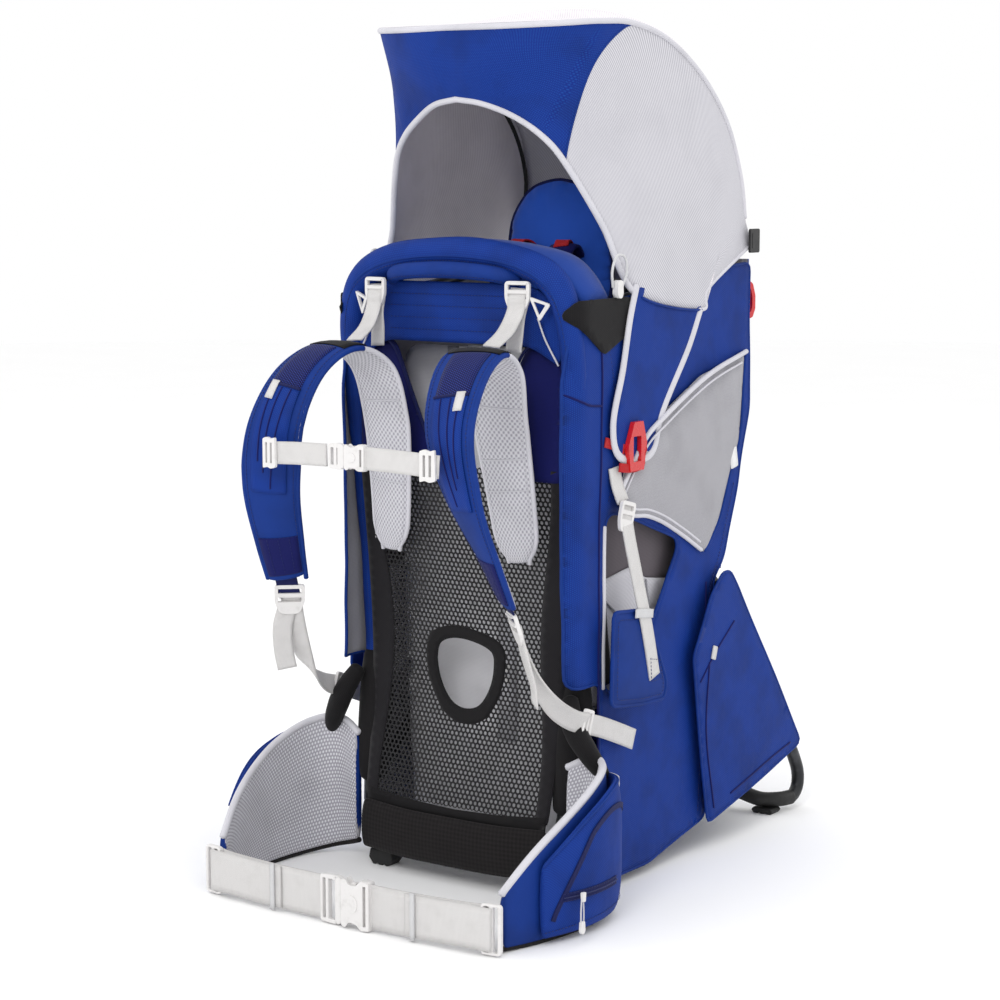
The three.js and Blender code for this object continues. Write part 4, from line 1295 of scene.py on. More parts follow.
def back_net():
    """The wearer's back: an open hexagon net stretched between black edge bands, with a bound oval
    window. The real net has 5 mm cells, and is drawn at 6 mm."""
    v = np.linspace(0, 4.45, 40)
    edge = spline_at(BACK_ROWS, v)
    edge = edge[edge[:, 2] < NET_TOP]
    right = [(w - 2, z) for w, _, z in edge]
    outline = [*right, *[(-x, z) for x, z in right[::-1]]]
    oval = smooth_line([(x * 1.18, z) for x, z in OVAL], 60, closed=True)
    shape = cloth_panel(outline, on_back(), 6.0, [oval])
    net = grown(piece("back_net", shape, BLACK_NET), NET_TREE, Opening=0.68, Material=BLACK_NET)
    wall = net.modifiers.new("wall", "SOLIDIFY")
    wall.thickness, wall.offset = 1.1 * MM, 0
    ridden(settled(net), "frame", "black_mesh", ["back_mesh"])
    as_sheet(net, shape, "stretched", ["front_frame_tube"])

    window = cloth_panel(smooth_line([(x * 1.56, 233 + (z - 235) * 1.34) for x, z in OVAL], 60, closed=True),
                         on_back(1.2), 4, [oval])
    ridden(piece("back_window_binding", window, BLACK_CLOTH, thick=2.6), "frame", "black_mesh")
    ring = tube(on_back(0.6)(oval), 1.8, 8, closed=True, side=(0, 1, 0))
    ridden(piece("back_window_edge", ring, BLACK_CLOTH), "frame", "black_mesh")
    strip = [(w - 20 + 8 * math.sin(z / 60), z) for w, _, z in edge]
    strip += [(w + 4, z) for w, _, z in edge[::-1]]
    pair("back_edge_band", cloth_panel(strip, on_back(0.9), 7), BLACK_MESH, "frame", "black_mesh", thick=2.4)
    low = on_back(1.0)
    foot = cloth_panel([(-122, 70), (122, 70), (124, 92), (60, 86), (0, 84), (-60, 86), (-124, 92)], low, 8)
    ridden(piece("back_foot_band", foot, BLACK_CLOTH, thick=2.4), "frame", "black_mesh")
    line = smooth_line([(-128, -16, 50), (-64, -24, 48), (0, -26, 48), (64, -24, 48), (128, -16, 50)], 50)
    shape = ribbon(line, (0, 0, 1), 58, 5, crown=4.2, cols=10)
    band = piece("lumbar_foam", shape, BLACK_FOAM, subdivide=1)
    ridden(band, "frame", "black_mesh", ["lumbar_band"])


def yoke_flares():
    """Navy side panels of the yoke. They leave a window between them, onto the cockpit lining and its
    blank label."""
    outline = rounded([(137, 596), (96, 612), (86, 600), (34, 486), (34, 462), (136, 462)], 6)
    lean = facing(lambda x, z: -3.0 + 6 * np.clip((z - 470) / 130, 0, 1) ** 2 * np.abs(x) / 137)
    shape = cloth_panel(outline, lean, 8)
    both = pair("yoke_flare", shape, NAVY_CLOTH, thick=2.4)
    as_sheet(both, shape, "stretched", ["front_frame_tube"])
    line = smooth_line([(98, -5, 611), (86, -5, 599), (58, -5, 538), (40, -5, 500)], 30)
    pair("yoke_flare_edge", tube(line, 1.8, 8), NAVY_TAPE)
    label = cloth_panel(round_box(-34, 46, 508, 602, 3), facing(60.6), 10)
    ridden(piece("lining_blank_label", label, LABEL, thick=0.6), "frame", "webbing")
    fold = [(-52, 58, 600), (-50, 56, 540), (-60, 58, 470)]
    ridden(taped("lining_fold", fold, 20, (1, 0.1, 0), 12, 5, GREY_LINING), "frame", "grey_mesh")
    strip = cloth_panel(round_box(8, 34, 150, 300, 2), facing(60.8), 12)
    ridden(piece("lining_snap_strip", strip, BINDING, thick=1.6), "frame", "webbing")
    snap = frame_of((22, 59.4, 236), (1, 0, 0), (0, 0, 1))
    disc, cap = ringed(5, 20), ringed(2.2, 14)
    low = lambda p: snap(p) - [0, 0.4, 14]
    acetal_part("lining_snaps", [
        (disc, snap, 1.6), (cap, lambda p: snap(p) - [0, 1.2, 0], 1.2),
        (disc, low, 1.6), (cap, lambda p: low(p) - [0, 1.2, 0], 1.2)], "frame")


# ---- padded frame covers


def frame_covers():
    """Foam sleeves round the front frame: blue over the top and down both columns, and black where
    the hip belt swings."""
    loop = front_loop(400)
    upper = loop[loop[:, 2] > 236]
    run = run_length(upper)
    top = np.clip((upper[:, 2] - 600) / 90, 0, 1)
    radius = 13 + 3.5 * top + 0.5 * np.sin(run / 17)
    sleeve = piece("column_sleeve", tube(upper, radius, 18, side=(0, 1, 0)), PACK_CLOTH)
    ridden(sleeve, "frame", "blue_cloth")
    piping = upper + [0, -1, 0] * radius[:, None] * 0.9 + [0, 0, -4] * top[:, None]
    ridden(piece("column_sleeve_seam", tube(piping, 1.6, 6), PLAIN_BLUE), "frame", "blue_cloth")
    sewn = upper + [0, -1, 0] * (radius[:, None] - 0.2) + [0, 0, -9] * top[:, None]
    stitched("column_sleeve_stitching", [sewn], mirror=False)

    right = loop[(loop[:, 0] > 0) & (loop[:, 2] > 96) & (loop[:, 2] <= 246)]
    right = right[np.argsort(-right[:, 2])]
    t = np.linspace(0, 1, len(right))
    fat = 13 + 7 * np.sin(np.pi * t) ** 0.6
    pair("hip_hinge_sleeve", tube(right, fat, 16, side=(0, 1, 0)), BLACK_CLOTH, "frame", "black_mesh",
         padded=0.6)
    fold = smooth_line([(147, 0, 226), (158, -12, 201), (175, -8, 172), (190, 3, 145)], 40)
    fat = 6 + 6.5 * np.sin(np.pi * np.linspace(0.1, 0.98, 40)) ** 0.7
    pair("hip_hinge_pad", tube(fold, fat, 16), BLACK_CLOTH, "frame", "black_mesh", padded=0.6)


def yoke():
    """The quilted panel across the top of the back, and the carry handle."""
    outline = rounded([(-136, 588), (-108, 604), (-92, 610), (92, 610), (108, 604), (136, 588), (137, 640),
                       (128, 662), (92, 676), (-92, 676), (-128, 662), (-137, 640)], 10)

    def place(p):
        x, z = p[:, 0], p[:, 1]
        quilt = 1.5 * np.abs(np.sin(math.pi * (z - 610) / 13)) * np.clip(1 - np.abs(x) / 105, 0, 1) ** 0.2
        return np.stack([x, -4 - 4 * (1 - (x / 140) ** 2) - quilt, z], 1)

    shape = cloth_panel(outline, place, 4.5)
    obj = ridden(piece("yoke_panel", shape, [PACK_CLOTH, PLAIN_BLUE], thick=4), "frame", "blue_cloth",
                 ["upper_back_panel"])
    rows = [[(x, place(np.array([[x, z]]))[0, 1] - 2.6, z) for x in np.linspace(-88, 88, 40)]
            for z in (623, 636, 649, 662)]
    stitched("yoke_quilting", rows, mirror=False)
    edge = np.array([(136, -9, 590), (120, -11, 618), (112, -13, 640), (128, -12, 662), (144, -14, 676)])
    pair("yoke_piping", tube(smooth_line(edge[:3], 20), 1.1, 6), BINDING, "frame", "webbing")

    line = smooth_line([(-84, -10, 679), (-71, -23, 685), (0, -28, 690), (71, -23, 685), (84, -10, 679)], 48)
    t = np.linspace(0, 1, 48)
    handle = piece("carry_handle", tube(line, 7.5 + 1.8 * np.sin(np.pi * t) ** 0.4, 16), PLAIN_BLUE)
    ridden(handle, "frame", "blue_cloth", ["grab_handle"])
    seam = line[4:-4] + [0, -7.2, -5.6]
    stitched("carry_handle_stitching", [seam], mirror=False)


# ---- buckles


def ladder_lock(place, wide, high):
    """The parts of a three-bar adjuster: a rounded frame with two slots, and a lifted tab and bar."""
    w, h = wide / 2, high / 2
    outline = rounded([(-w, h), (w, h), (w, -h * 0.2), (w * 0.62, -h), (-w * 0.62, -h), (-w, -h * 0.2)], 5, 5)
    slots = [block(-w + 4, w - 4, h * a, h * b)[::-1] for a, b in ((0.42, 0.74), (-0.18, 0.14))]
    tab = rounded([(-w + 2, h * 0.9), (w - 2, h * 0.9), (w - 4, h * 0.78), (-w + 4, h * 0.78)], 1)
    origin, right, up = place(np.array([[0, 0], [1.0, 0], [0, 1.0]]))
    out = unit(np.cross(right - origin, up - origin))
    bar = block(-w + 3, w - 3, h * 0.2, h * 0.36)
    return [(outline, place, 4.0, *slots), (tab, lambda p: place(p) + 2.4 * out, 3.0),
            (bar, lambda p: place(p) + 1.8 * out, 2.6)]


def lifters():
    """The load lifters: a ladder lock on each side of the yoke, its webbing to the pad and its tail."""
    for s, hand in HANDS:
        place = frame_of((s * 96, -28, 664), (1, 0.12 * s, 0), (0, 0, 1))
        acetal_part(f"lifter_lock_{hand}", ladder_lock(place, 30, 32), "frame", [f"lifter_buckle_{hand}"])
        web = flip(s, [(96, -24, 672), (96, -30, 662), (96, -31, 650), (94, -46, 628), (92, -72, 612)])
        strap = taped(f"lifter_webbing_{hand}", web, 30, (1, 0.1 * s, 0), 21, 1.8)
        bridging(strap, web[2], web[4])
        tail = flip(s, [(96, -22, 656), (95, -27, 642), (93, -28, 622), (92, -30, 604)])
        ridden(taped(f"lifter_tail_{hand}", tail, 14, (1, 0.1 * s, 0), 19, 1.6), "frame", "webbing")
        ring = frame_of((s * 120, -22, 652), (1, 0.35 * s, 0), (0.25 * s, 0, 1))
        outline = rounded([(-11, 12), (13, 4), (0, -15)], 3)
        hole = rounded([(-6, 7), (7, 3), (0, -8)], 1.5)[::-1]
        acetal_part(f"hang_ring_{hand}", [(outline, ring, 3.2, hole)], "frame")


def pad_point(t, w, lift=0.0):
    """A point on a right-hand shoulder pad: t along it, w from -1 to 1 across, and lift out of its
    outer face, or of its inner face when lift is negative."""
    t = np.clip(np.asarray(t, float), 0, 1)
    line = smooth_line(PAD_LINE, 90)
    x = t * 89
    centre = np.stack([np.interp(x, np.arange(90), line[:, k]) for k in range(3)], -1)
    tan = tangents(line)
    along = np.stack([np.interp(x, np.arange(90), tan[:, k]) for k in range(3)], -1)
    side = pad_side(t)
    side = unit(side - along * (side * along).sum(-1, keepdims=True))
    up = np.cross(along, side)
    w = np.asarray(w, float)
    h = 2.5 + 3.6 * (1 - np.abs(w) ** 2.5)
    height = h * np.sign(lift or 1) + lift
    return centre + side * (pad_width(t) / 2 * w)[..., None] + up * height[..., None]


def pad_patch(t0, t1, w0, w1, lift, rows=24, cols=8, taper=0.0):
    t, w = np.meshgrid(np.linspace(t0, t1, rows), np.linspace(0, 1, cols), indexing="ij")
    shrink = taper * (t - t0) / (t1 - t0)
    return grid(pad_point(t, w0 + shrink + (w1 - w0 - 2 * shrink) * w, lift))


def pad_details():
    """What is sewn on each shoulder pad: a black gusset over the shoulder, a stretch pocket with a
    navy mesh window, tapes, tabs and seams."""
    blue = ("harness", "blue_cloth")
    gusset = pad_patch(0.435, 0.485, -0.9, 0.95, 0.7)
    pair("pad_gusset", gusset, BLACK_CLOTH, "harness", "black_mesh", thick=1.2)
    pair("pad_mesh_window", pad_patch(0.49, 0.60, -0.6, 0.7, 0.5), NAVY_MESH, *blue, thick=1.0)
    pair("pad_pocket", pad_patch(0.60, 0.80, -0.62, 0.7, 1.2), PACK_CLOTH, *blue, thick=1.6)
    folds = [tube(pad_point(np.linspace(0.605, end, 30), np.linspace(a, b, 30), 2.1), 0.9, 6)
             for end, a, b in ((0.79, -0.3, -0.05), (0.76, 0.1, 0.2), (0.74, 0.45, 0.4))]
    pair("pad_pocket_folds", merged(folds), NAVY_CLOTH, *blue)
    w = np.linspace(-0.9, 0.9, 20)
    across = [tube(pad_point(np.full(20, t), w, -0.2), 0.9, 6) for t in (0.14, 0.2, 0.3)]
    pair("pad_back_seams", merged(across), THREAD_PALE, "harness", "grey_mesh")
    hem = pad_point(np.full(16, 0.60), np.linspace(-0.62, 0.7, 16), 1.8)
    pair("pad_pocket_hem", tube(hem, 1.7, 8), NAVY_TAPE, *blue)
    pair("pad_end_patch", pad_patch(0.90, 0.985, -0.86, 0.86, 0.5), NAVY_CLOTH, *blue, thick=1.2)
    pair("pad_tab", pad_patch(0.595, 0.63, 0.30, 0.62, 3.0, 6, 4), WEBBING, "harness", "webbing", thick=1.2)
    edge = np.linspace(0.30, 0.98, 120)
    rows = [pad_point(edge, np.full(120, w), 0.3) for w in (-0.86, 0.86)]
    rows += [pad_point(np.linspace(0.905, 0.975, 14), np.full(14, w), 1.3) for w in (-0.5, 0, 0.5)]
    rows += [pad_point(np.full(20, t), np.linspace(-0.8, 0.8, 20), 0.4) for t in (0.43, 0.9)]
    stitched("pad_stitching", rows, "harness")
    back = [pad_point(np.linspace(0.02, 0.98, 150), np.full(150, w), -0.25) for w in (-0.84, 0.84)]
    stitched("pad_inner_stitching", back, "harness", thread=THREAD_PALE, slot="grey_mesh")


def harness_webbing():
    """Ladder lock, lower webbing and slack tail under each pad, and the chest strap."""
    for s, hand in HANDS:
        across = flip(s, (0.75, -0.66, 0))  # the width direction of a pad's lower end
        place = frame_of(flip(s, (153.5, -114, 323)), across, flip(s, (-0.1, -0.3, 0.95)))
        acetal_part(f"pad_lock_{hand}", ladder_lock(place, 34, 36), "harness", [f"shoulder_buckle_{hand}"])
        tape = flip(s, [(148, -130, 362), (152, -119, 338), (154, -113, 326)])
        ridden(taped(f"pad_lock_tape_{hand}", tape, 14, across, 24, 2, NAVY_TAPE), "harness", "blue_cloth")
        web = flip(s, [(154, -111, 328), (156, -105, 302), (161, -86, 262), (167, -60, 230), (171, -32, 212),
                       (172.5, -8, 204)])
        turn = np.linspace(0, 1, 60)[:, None]
        side = across * (1 - turn) + flip(s, (0.3, 0, 0.95)) * turn
        strap = taped(f"pad_webbing_{hand}", web, 60, side, 24, 2)
        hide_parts(f"shoulder_web_{hand}")
        bridging(strap, web[1], web[4])
        where = frame_of(flip(s, (172.5, -6, 203)), flip(s, (0.1, 0.93, -0.34)), (0, 0.34, 0.93))
        bars = [block(-4.5, -1.2, -12, 12)[::-1], block(1.2, 4.5, -12, 12)[::-1]]
        plate_line = round_box(-8, 8, -16, 16, 3)
        acetal_part(f"pad_webbing_anchor_{hand}", [(plate_line, where, 4.0, *bars)], "frame")
        end = flip(s, [(172, -8, 204), (173.5, 20, 195), (174.5, 56, 181), (173.8, 88, 168)])
        ridden(taped(f"pad_webbing_end_{hand}", end, 24, (0, 0.3, 0.95), 23, 2), "frame", "webbing")
        tail = flip(s, [(158, -112, 314), (166, -112, 290), (170, -106, 262), (169, -101, 240)])
        ridden(taped(f"pad_webbing_tail_{hand}", tail, 24, across, 22, 1.8), "harness", "webbing")

    for s, hand in HANDS:
        web = flip(s, [(116, -197, 498), (100, -199, 499), (70, -204, 501), (24, -205, 502)])
        strap = taped(f"chest_webbing_{hand}", web, 40, (0, 0, 1), 24, 2)
        buckled(strap, hand, "sternum_strap", "sternum_web", web[1], web[3])
        slide = frame_of(flip(s, (105, -202, 499)), (1, 0.1 * s, 0), (0, 0, 1))
        zigzag = rounded([(-9, 15), (-3, 17), (3, 15), (9, 17), (10, -15), (3, -17), (-3, -15), (-9, -17)], 2)
        slots = [block(-5, -2, -11, 11)[::-1], block(2, 5, -11, 11)[::-1]]
        acetal_part(f"chest_slider_{hand}", [(zigzag, slide, 3.4, *slots)], "sternum_strap")
    side_release("chest", "sternum_strap", "sternum_socket", "sternum_buckle_plug", "sternum_plug",
                 (0, -205, 502), 28, 28, 9)
    side_release("hip", "frame", "hip_socket", "hip_buckle_plug", "hip_plug", (0, -215, 28), 39, 54, 12)


def buckled(strap, hand, body, web, start, end):
    """A strap to a buckle: the right one stays on its body, and the left one follows the plug."""
    if hand == "right":
        ridden(strap, body, "webbing", [f"{web}_right"])
    else:
        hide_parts(f"{web}_left")
        bridging(strap, start, end)


def side_release(name, socket_body, socket, plug_body, plug, centre, length, height, depth):
    """A side-release buckle across X. The socket is two shells with a waist where the fingers press,
    and the plug has two springy arms with ears that fill the waist."""
    cx, cy, cz = centre
    h, waist = height / 2, height * 0.12
    flat = frame_of((cx, cy, cz), (1, 0, 0), (0, 0, 1))
    behind = lambda d: lambda p: flat(p) + [0, d, 0]
    shell = [(2, h - 2), (length * 0.18, h), (length * 0.3, h - waist), (length * 0.55, h - waist),
             (length * 0.72, h), (length, h - 1)]
    shell = rounded([*shell, *[(x, -z) for x, z in shell[::-1]]], 2.5)
    slot = block(length * 0.8, length * 0.9, -h + 5, h - 5)[::-1]
    boss = ringed(length * 0.2, 28, (length * 0.42, 0), h * 0.36 / (length * 0.2))
    skin = depth * 0.24
    parts = [(shell, behind(d), skin, slot) for d in (-depth / 2 + skin / 2, depth / 2 - skin / 2)]
    parts += [(round_box(length * 0.66, length, -h, h, 2), behind(0), depth * 0.6, slot),
              (boss, behind(-depth / 2 - 0.3), 1.2)]
    acetal_part(f"{name}_buckle_socket", parts, socket_body, [socket], 1.1)

    back = -length * 0.72
    base = rounded([(back, -h + 1), (back, h - 1), (-5, h), (0.5, h - 3), (0.5, -h + 3), (-5, -h)], 3)
    gaps = [block(back + 3.2, back + 7, -h + 5, h - 5)[::-1], block(back + 11, -8, -h + 5, h - 5)[::-1]]
    arm = [(0, h * 0.52), (length * 0.42, h * 0.5), (length * 0.5, h * 0.62), (length * 0.5, h * 0.86),
           (length * 0.36, h * 0.84), (length * 0.26, h * 0.72), (0, h * 0.72)]
    arm = rounded(arm, 1.5)
    tongue = round_box(0, length * 0.34, -h * 0.12, h * 0.12, 1.5)
    inner = depth * 0.42
    parts = [(base, behind(0), depth * 0.62, *gaps), (arm, behind(0), inner),
             (np.array(arm)[::-1] * [1, -1], behind(0), inner), (tongue, behind(0), inner)]
    acetal_part(f"{name}_buckle_plug", parts, plug_body, [plug], 1.1)


def hip_webbing():
    """The belt's webbing in two halves, each with a slider frame, a doubled tail and a keeper."""
    for s, hand in HANDS:
        web = flip(s, [(186, -201, 29), (168, -207, 29), (130, -210, 28), (80, -214, 28), (24, -215, 28)])
        strap = taped(f"hip_webbing_{hand}", web, 60, (0, 0, 1), 48, 2.2)
        buckled(strap, hand, "frame", "hip_web", web[1], web[4])
        fold = flip(s, [(190, -211, 29), (160, -212.5, 29), (120, -214.5, 28), (84, -216.5, 28)])
        ridden(taped(f"hip_webbing_tail_{hand}", fold, 40, (0, 0, 1), 46, 1.6), "frame", "webbing")
        place = frame_of(flip(s, (188, -207, 29)), (1, 0.12 * s, 0), (0, 0, 1))
        gaps = [round_box(-8, -2, -24, 24, 1.5)[::-1], round_box(2.5, 8, -24, 24, 1.5)[::-1]]
        frame_part = (round_box(-12, 12, -27, 27, 5), place, 6.5, *gaps)
        acetal_part(f"hip_slider_frame_{hand}", [frame_part], "frame", [f"hip_slider_{hand}"], 1.4)
        keeper = flip(s, [(92, -218.5, 28), (98, -218.5, 28)])
        loop = taped(f"hip_webbing_keeper_{hand}", keeper, 4, (0, 0, 1), 51, 1.4, ELASTIC)
        ridden(loop, "frame", "webbing")


# ---- hip belt details


def pocket_point(t, h, lift=0.0):
    """A point of the right-hand hip pocket's outer face: t from 1 to 5 along it and h from 0 to 1 up."""
    t, h = np.broadcast_arrays(np.asarray(t, float), np.asarray(h, float))
    flat_t = t.reshape(-1)
    spot = spline_at(WING, flat_t)
    ahead, behind = spline_at(WING, flat_t + 0.05), spline_at(WING, flat_t - 0.05)
    along = unit(ahead[:, :2] - behind[:, :2])
    out = np.stack([-along[:, 1], along[:, 0]], 1)
    share = spline_at(np.array([0.05, 0.8, 1, 0.9, 0.3])[:, None], flat_t - 1)[:, 0]
    low, high = spot[:, 2] + 5, spot[:, 3] - 14 + 10 * share**2
    inner, outer = WING_T + 0.7, WING_T + 4 + 15 * share
    hh = h.reshape(-1)
    bow = 1 - 0.75 * np.abs(2 * hh - 1) ** 4
    d = (inner + outer) / 2 + (outer - inner) / 2 * bow + lift
    made = np.stack([spot[:, 0] + out[:, 0] * d, spot[:, 1] + out[:, 1] * d, low + (high - low) * hh], 1)
    return made.reshape(*t.shape, 3)


def zipped(name, line, out, wide=9.0):
    """A coil zip along a line: a tape each side, teeth between, and stitching along the tapes."""
    side = unit(np.cross(tangents(line), out))
    pair(f"{name}_tape", ribbon(line + out * 0.4, side, wide, 1.2), NAVY_TAPE)
    teeth = [line + out * 1.2, mirrored(line + out * 1.2)]
    beaded(f"{name}_teeth", teeth, ZIP_TEETH, 1.9, 1.5, 3.4, 1.5, "frame", "blue_cloth")
    rows = [line + side * wide * k + out * 1.1 for k in (0.42, -0.42)]
    stitched(f"{name}_stitching", rows)


def zip_pull(name, head, tip, body, node):
    """A slider with a cord loop and a moulded end, for both sides."""
    head, tip = np.array(head, float), np.array(tip, float)
    down = unit(tip - head)
    side = unit(np.cross(down, [1, 0, 0]))
    loop = [head, head + down * 4 + side * 1.5, tip - down * 9 + side * 2.2, tip - down * 6,
            tip - down * 9 - side * 2.2, head + down * 4 - side * 1.5, head]
    pair(f"{name}_cord", tube(smooth_line(loop, 40), 0.9, 8), THREAD_PALE, body, "webbing")
    place = frame_of(tip - down * 5, side, down)
    outline = rounded([(-3.2, -6), (3.2, -6), (4.4, 5), (0, 8), (-4.4, 5)], 2)
    for s, hand in HANDS:
        spot = lambda p, s=s: flip(s, place(p))
        acetal_part(f"{name}_end_{hand}", [(outline, spot, 3.0)], body.format(hand=hand), [f"{node}_{hand}"])
    slider = rounded([(-3.4, -5), (3.4, -5), (2.4, 5), (-2.4, 5)], 1.5)
    place = frame_of(head + [1.2, 0, 0], side, down)
    for s, hand in HANDS:
        spot = lambda p, s=s: flip(s, place(p))
        acetal_part(f"{name}_slider_{hand}", [(slider, spot, 3.0)], body.format(hand=hand))


def hip_details():
    """Seam tape, zip with its pull, piping and stitching on each hip pocket."""
    t = np.linspace(1.35, 4.75, 90)
    h = 0.52 + 0.36 * np.sin(np.pi * (t - 1.35) / 3.4) ** 0.6 - 0.30 * np.clip((t - 3.6) / 1.15, 0, 1) ** 1.5
    line = pocket_point(t, h, 0.3)
    out = unit(pocket_point(t, h, 2.0) - line)
    side = unit(np.cross(tangents(line), out))
    pair("hip_pocket_seam_tape", ribbon(line + out * 0.4, side, 6, 1.2), NAVY_TAPE)
    t = np.linspace(2.7, 4.5, 60)
    foot, top = (pocket_point(t, np.full(60, k))[:, 2] for k in (0.0, 1.0))
    h = (50 - foot) / (top - foot)
    line = pocket_point(t, h, 0.3)
    zipped("hip_pocket_zip", line, unit(pocket_point(t, h, 2.0) - line))
    zip_pull("hip_zip", (240.5, -118, 50), (243, -122, 14), "hip_zip_{hand}", "hip_zip_pull")
    piping = pocket_point(np.linspace(1.05, 4.95, 80), np.full(80, 0.98), 0.2)
    pair("hip_pocket_piping", tube(piping, 1.3, 6), PLAIN_BLUE)
    row = pocket_point(np.linspace(1.2, 4.9, 80), np.full(80, 0.09), 0.5)
    stitched("hip_pocket_stitching", [row])


# ---- sides, leg openings and stirrups


def side_details():
    """Mesh pockets, seams, sunshade hooks and straps on both sides."""
    outline = rounded([
        (345, 584), (334, 481), (315, 447), (288, 391), (261, 357), (245, 360), (201, 384), (157, 404),
        (125, 414), (93, 419), (64, 440), (80, 472), (113, 502), (155, 526), (243, 564)], 6)

    def bulge(y, z):
        far = edge_distance(np.stack([y, z], 1), np.array(outline))
        high = np.clip((z - 400 - 0.35 * (y - 60)) / 90, 0, 1)
        pleats = 1.5 * np.sin(y / 6.5 + 0.02 * z) * high
        return 164.4 + 9 * (1 - np.exp(-far / 26)) + pleats * np.clip(far / 12, 0, 1)

    shape = cloth_panel(outline, on_side(bulge), 5.5)
    both = pair("mesh_pocket_cloth", shape, POCKET_MESH, "frame", "grey_mesh", "mesh_pocket", thick=1.2)
    as_sheet(both, shape, "stretched", ["side_panel_cloth_right"])
    mouth = smooth_line(
        [(166.5, 62, 440), (170, 113, 502), (172, 155, 526), (173.5, 243, 564), (167, 346, 586)], 60)
    below = mouth + [0.6, 3, -9]
    foot = smooth_line([(165.8, y, z) for y, z in (
        (66, 438), (93, 420), (125, 415), (157, 405), (201, 385), (247, 361))], 60)
    hems = [tube(mouth, 2.9, 8), tube(below[3:-3], 1.3, 6), tube(foot, 2.5, 8),
            tube(foot[2:-2] + [1.6, 1, 7], 1.4, 6)]
    pair("mesh_pocket_hem", merged(hems), BINDING, "frame", "webbing")
    side = smooth_line([(165.4, y, z) for y, z in (
        (256, 358), (288, 391), (315, 447), (334, 481), (346, 584))], 50)
    pair("mesh_pocket_side", tube(side, 2.2, 8), PLAIN_BLUE)
    stitched("side_seam_stitching", [np.array([(163.4, y, z) for y, z in seam]) for seam in (
        smooth_line([(40, 640), (60, 560), (58, 470), (50, 440)], 40),
        smooth_line([(326, 430), (294, 350), (270, 300), (250, 50)], 60))])
    patch = rounded([(-26, 643), (-9, 660), (89, 661), (87, 621), (37, 600)], 5)
    shape = cloth_panel(patch, on_side(lambda y, z: side_x(y, z) + 3.0), 8)
    pair("side_top_patch", shape, BLACK_CLOTH, "frame", "black_mesh", thick=2.0)
    note = frame_of((167.5, 318, 462), (0, 1, 0.2), (0, -0.2, 1))
    pair("side_blank_label", plate(round_box(-8, 8, -12, 12, 2), note), LABEL, "frame", "webbing", thick=1.0)

    for name, cloth_of, x, edge in (
        ("upper", TAUPE_LINING, 146, [
            (24, 330), (24, 446), (120, 446), (284, 402), (284, 318), (232, 326), (150, 338), (122, 352)]),
        ("lower", SHADE_MESH, 148, [
            (24, 206), (24, 345), (122, 356), (150, 340), (240, 327), (200, 262), (150, 240), (110, 206)]),
    ):
        shape = rumpled(cloth_panel(rounded(edge, 5), on_side(x), 9), 2.5, 45, (1, 0, 0), 12)
        both = pair(f"leg_lining_{name}", shape, cloth_of, "frame", "grey_mesh", thick=1.6)
        as_sheet(both, shape, "hung", ["side_panel_cloth_right"])
    folds = [tube(smooth_line([(150.5, y, z) for y, z in line], 30), 1.2, 6) for line in (
        [(58, 330), (100, 300), (152, 268)], [(150, 338), (158, 300), (160, 268)],
        [(196, 330), (176, 296), (160, 262)])]
    pair("leg_lining_seams", merged(folds), GREY_LINING, "frame", "grey_mesh")
    web = smooth_line([(151.5, 54, 346), (151.5, 58, 300), (152, 68, 232)], 20)
    pair("leg_lining_tape", ribbon(web, (0, 1, 0.1), 15, 2), BLACK_CLOTH, "frame", "black_mesh")

    tape = smooth_line(
        [(170.2, 60, 476), (172.5, 74, 474), (173.5, 92, 474), (172.5, 106, 478), (170, 112, 500)], 30)
    pair("sunshade_hook_tape", ribbon(tape, (0, 0.1, 1), 10, 1.6), RED_TAPE, "sunshade", "red_plastic")
    anchor = smooth_line([(164.5, 40, 505), (167, 58, 500), (168.5, 74, 494)], 16)
    pair("side_anchor_tape", ribbon(anchor, (0, 0.2, 1), 11, 1.6), RED_TAPE, "frame", "red_plastic")
    for _, hand in HANDS:
        for name, material in (("sunshade_hook", RED_ACETAL), ("hinge_bracket", BRACKET)):
            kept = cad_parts[f"{name}_{hand}"].data.materials
            kept.clear()
            kept.append(material)


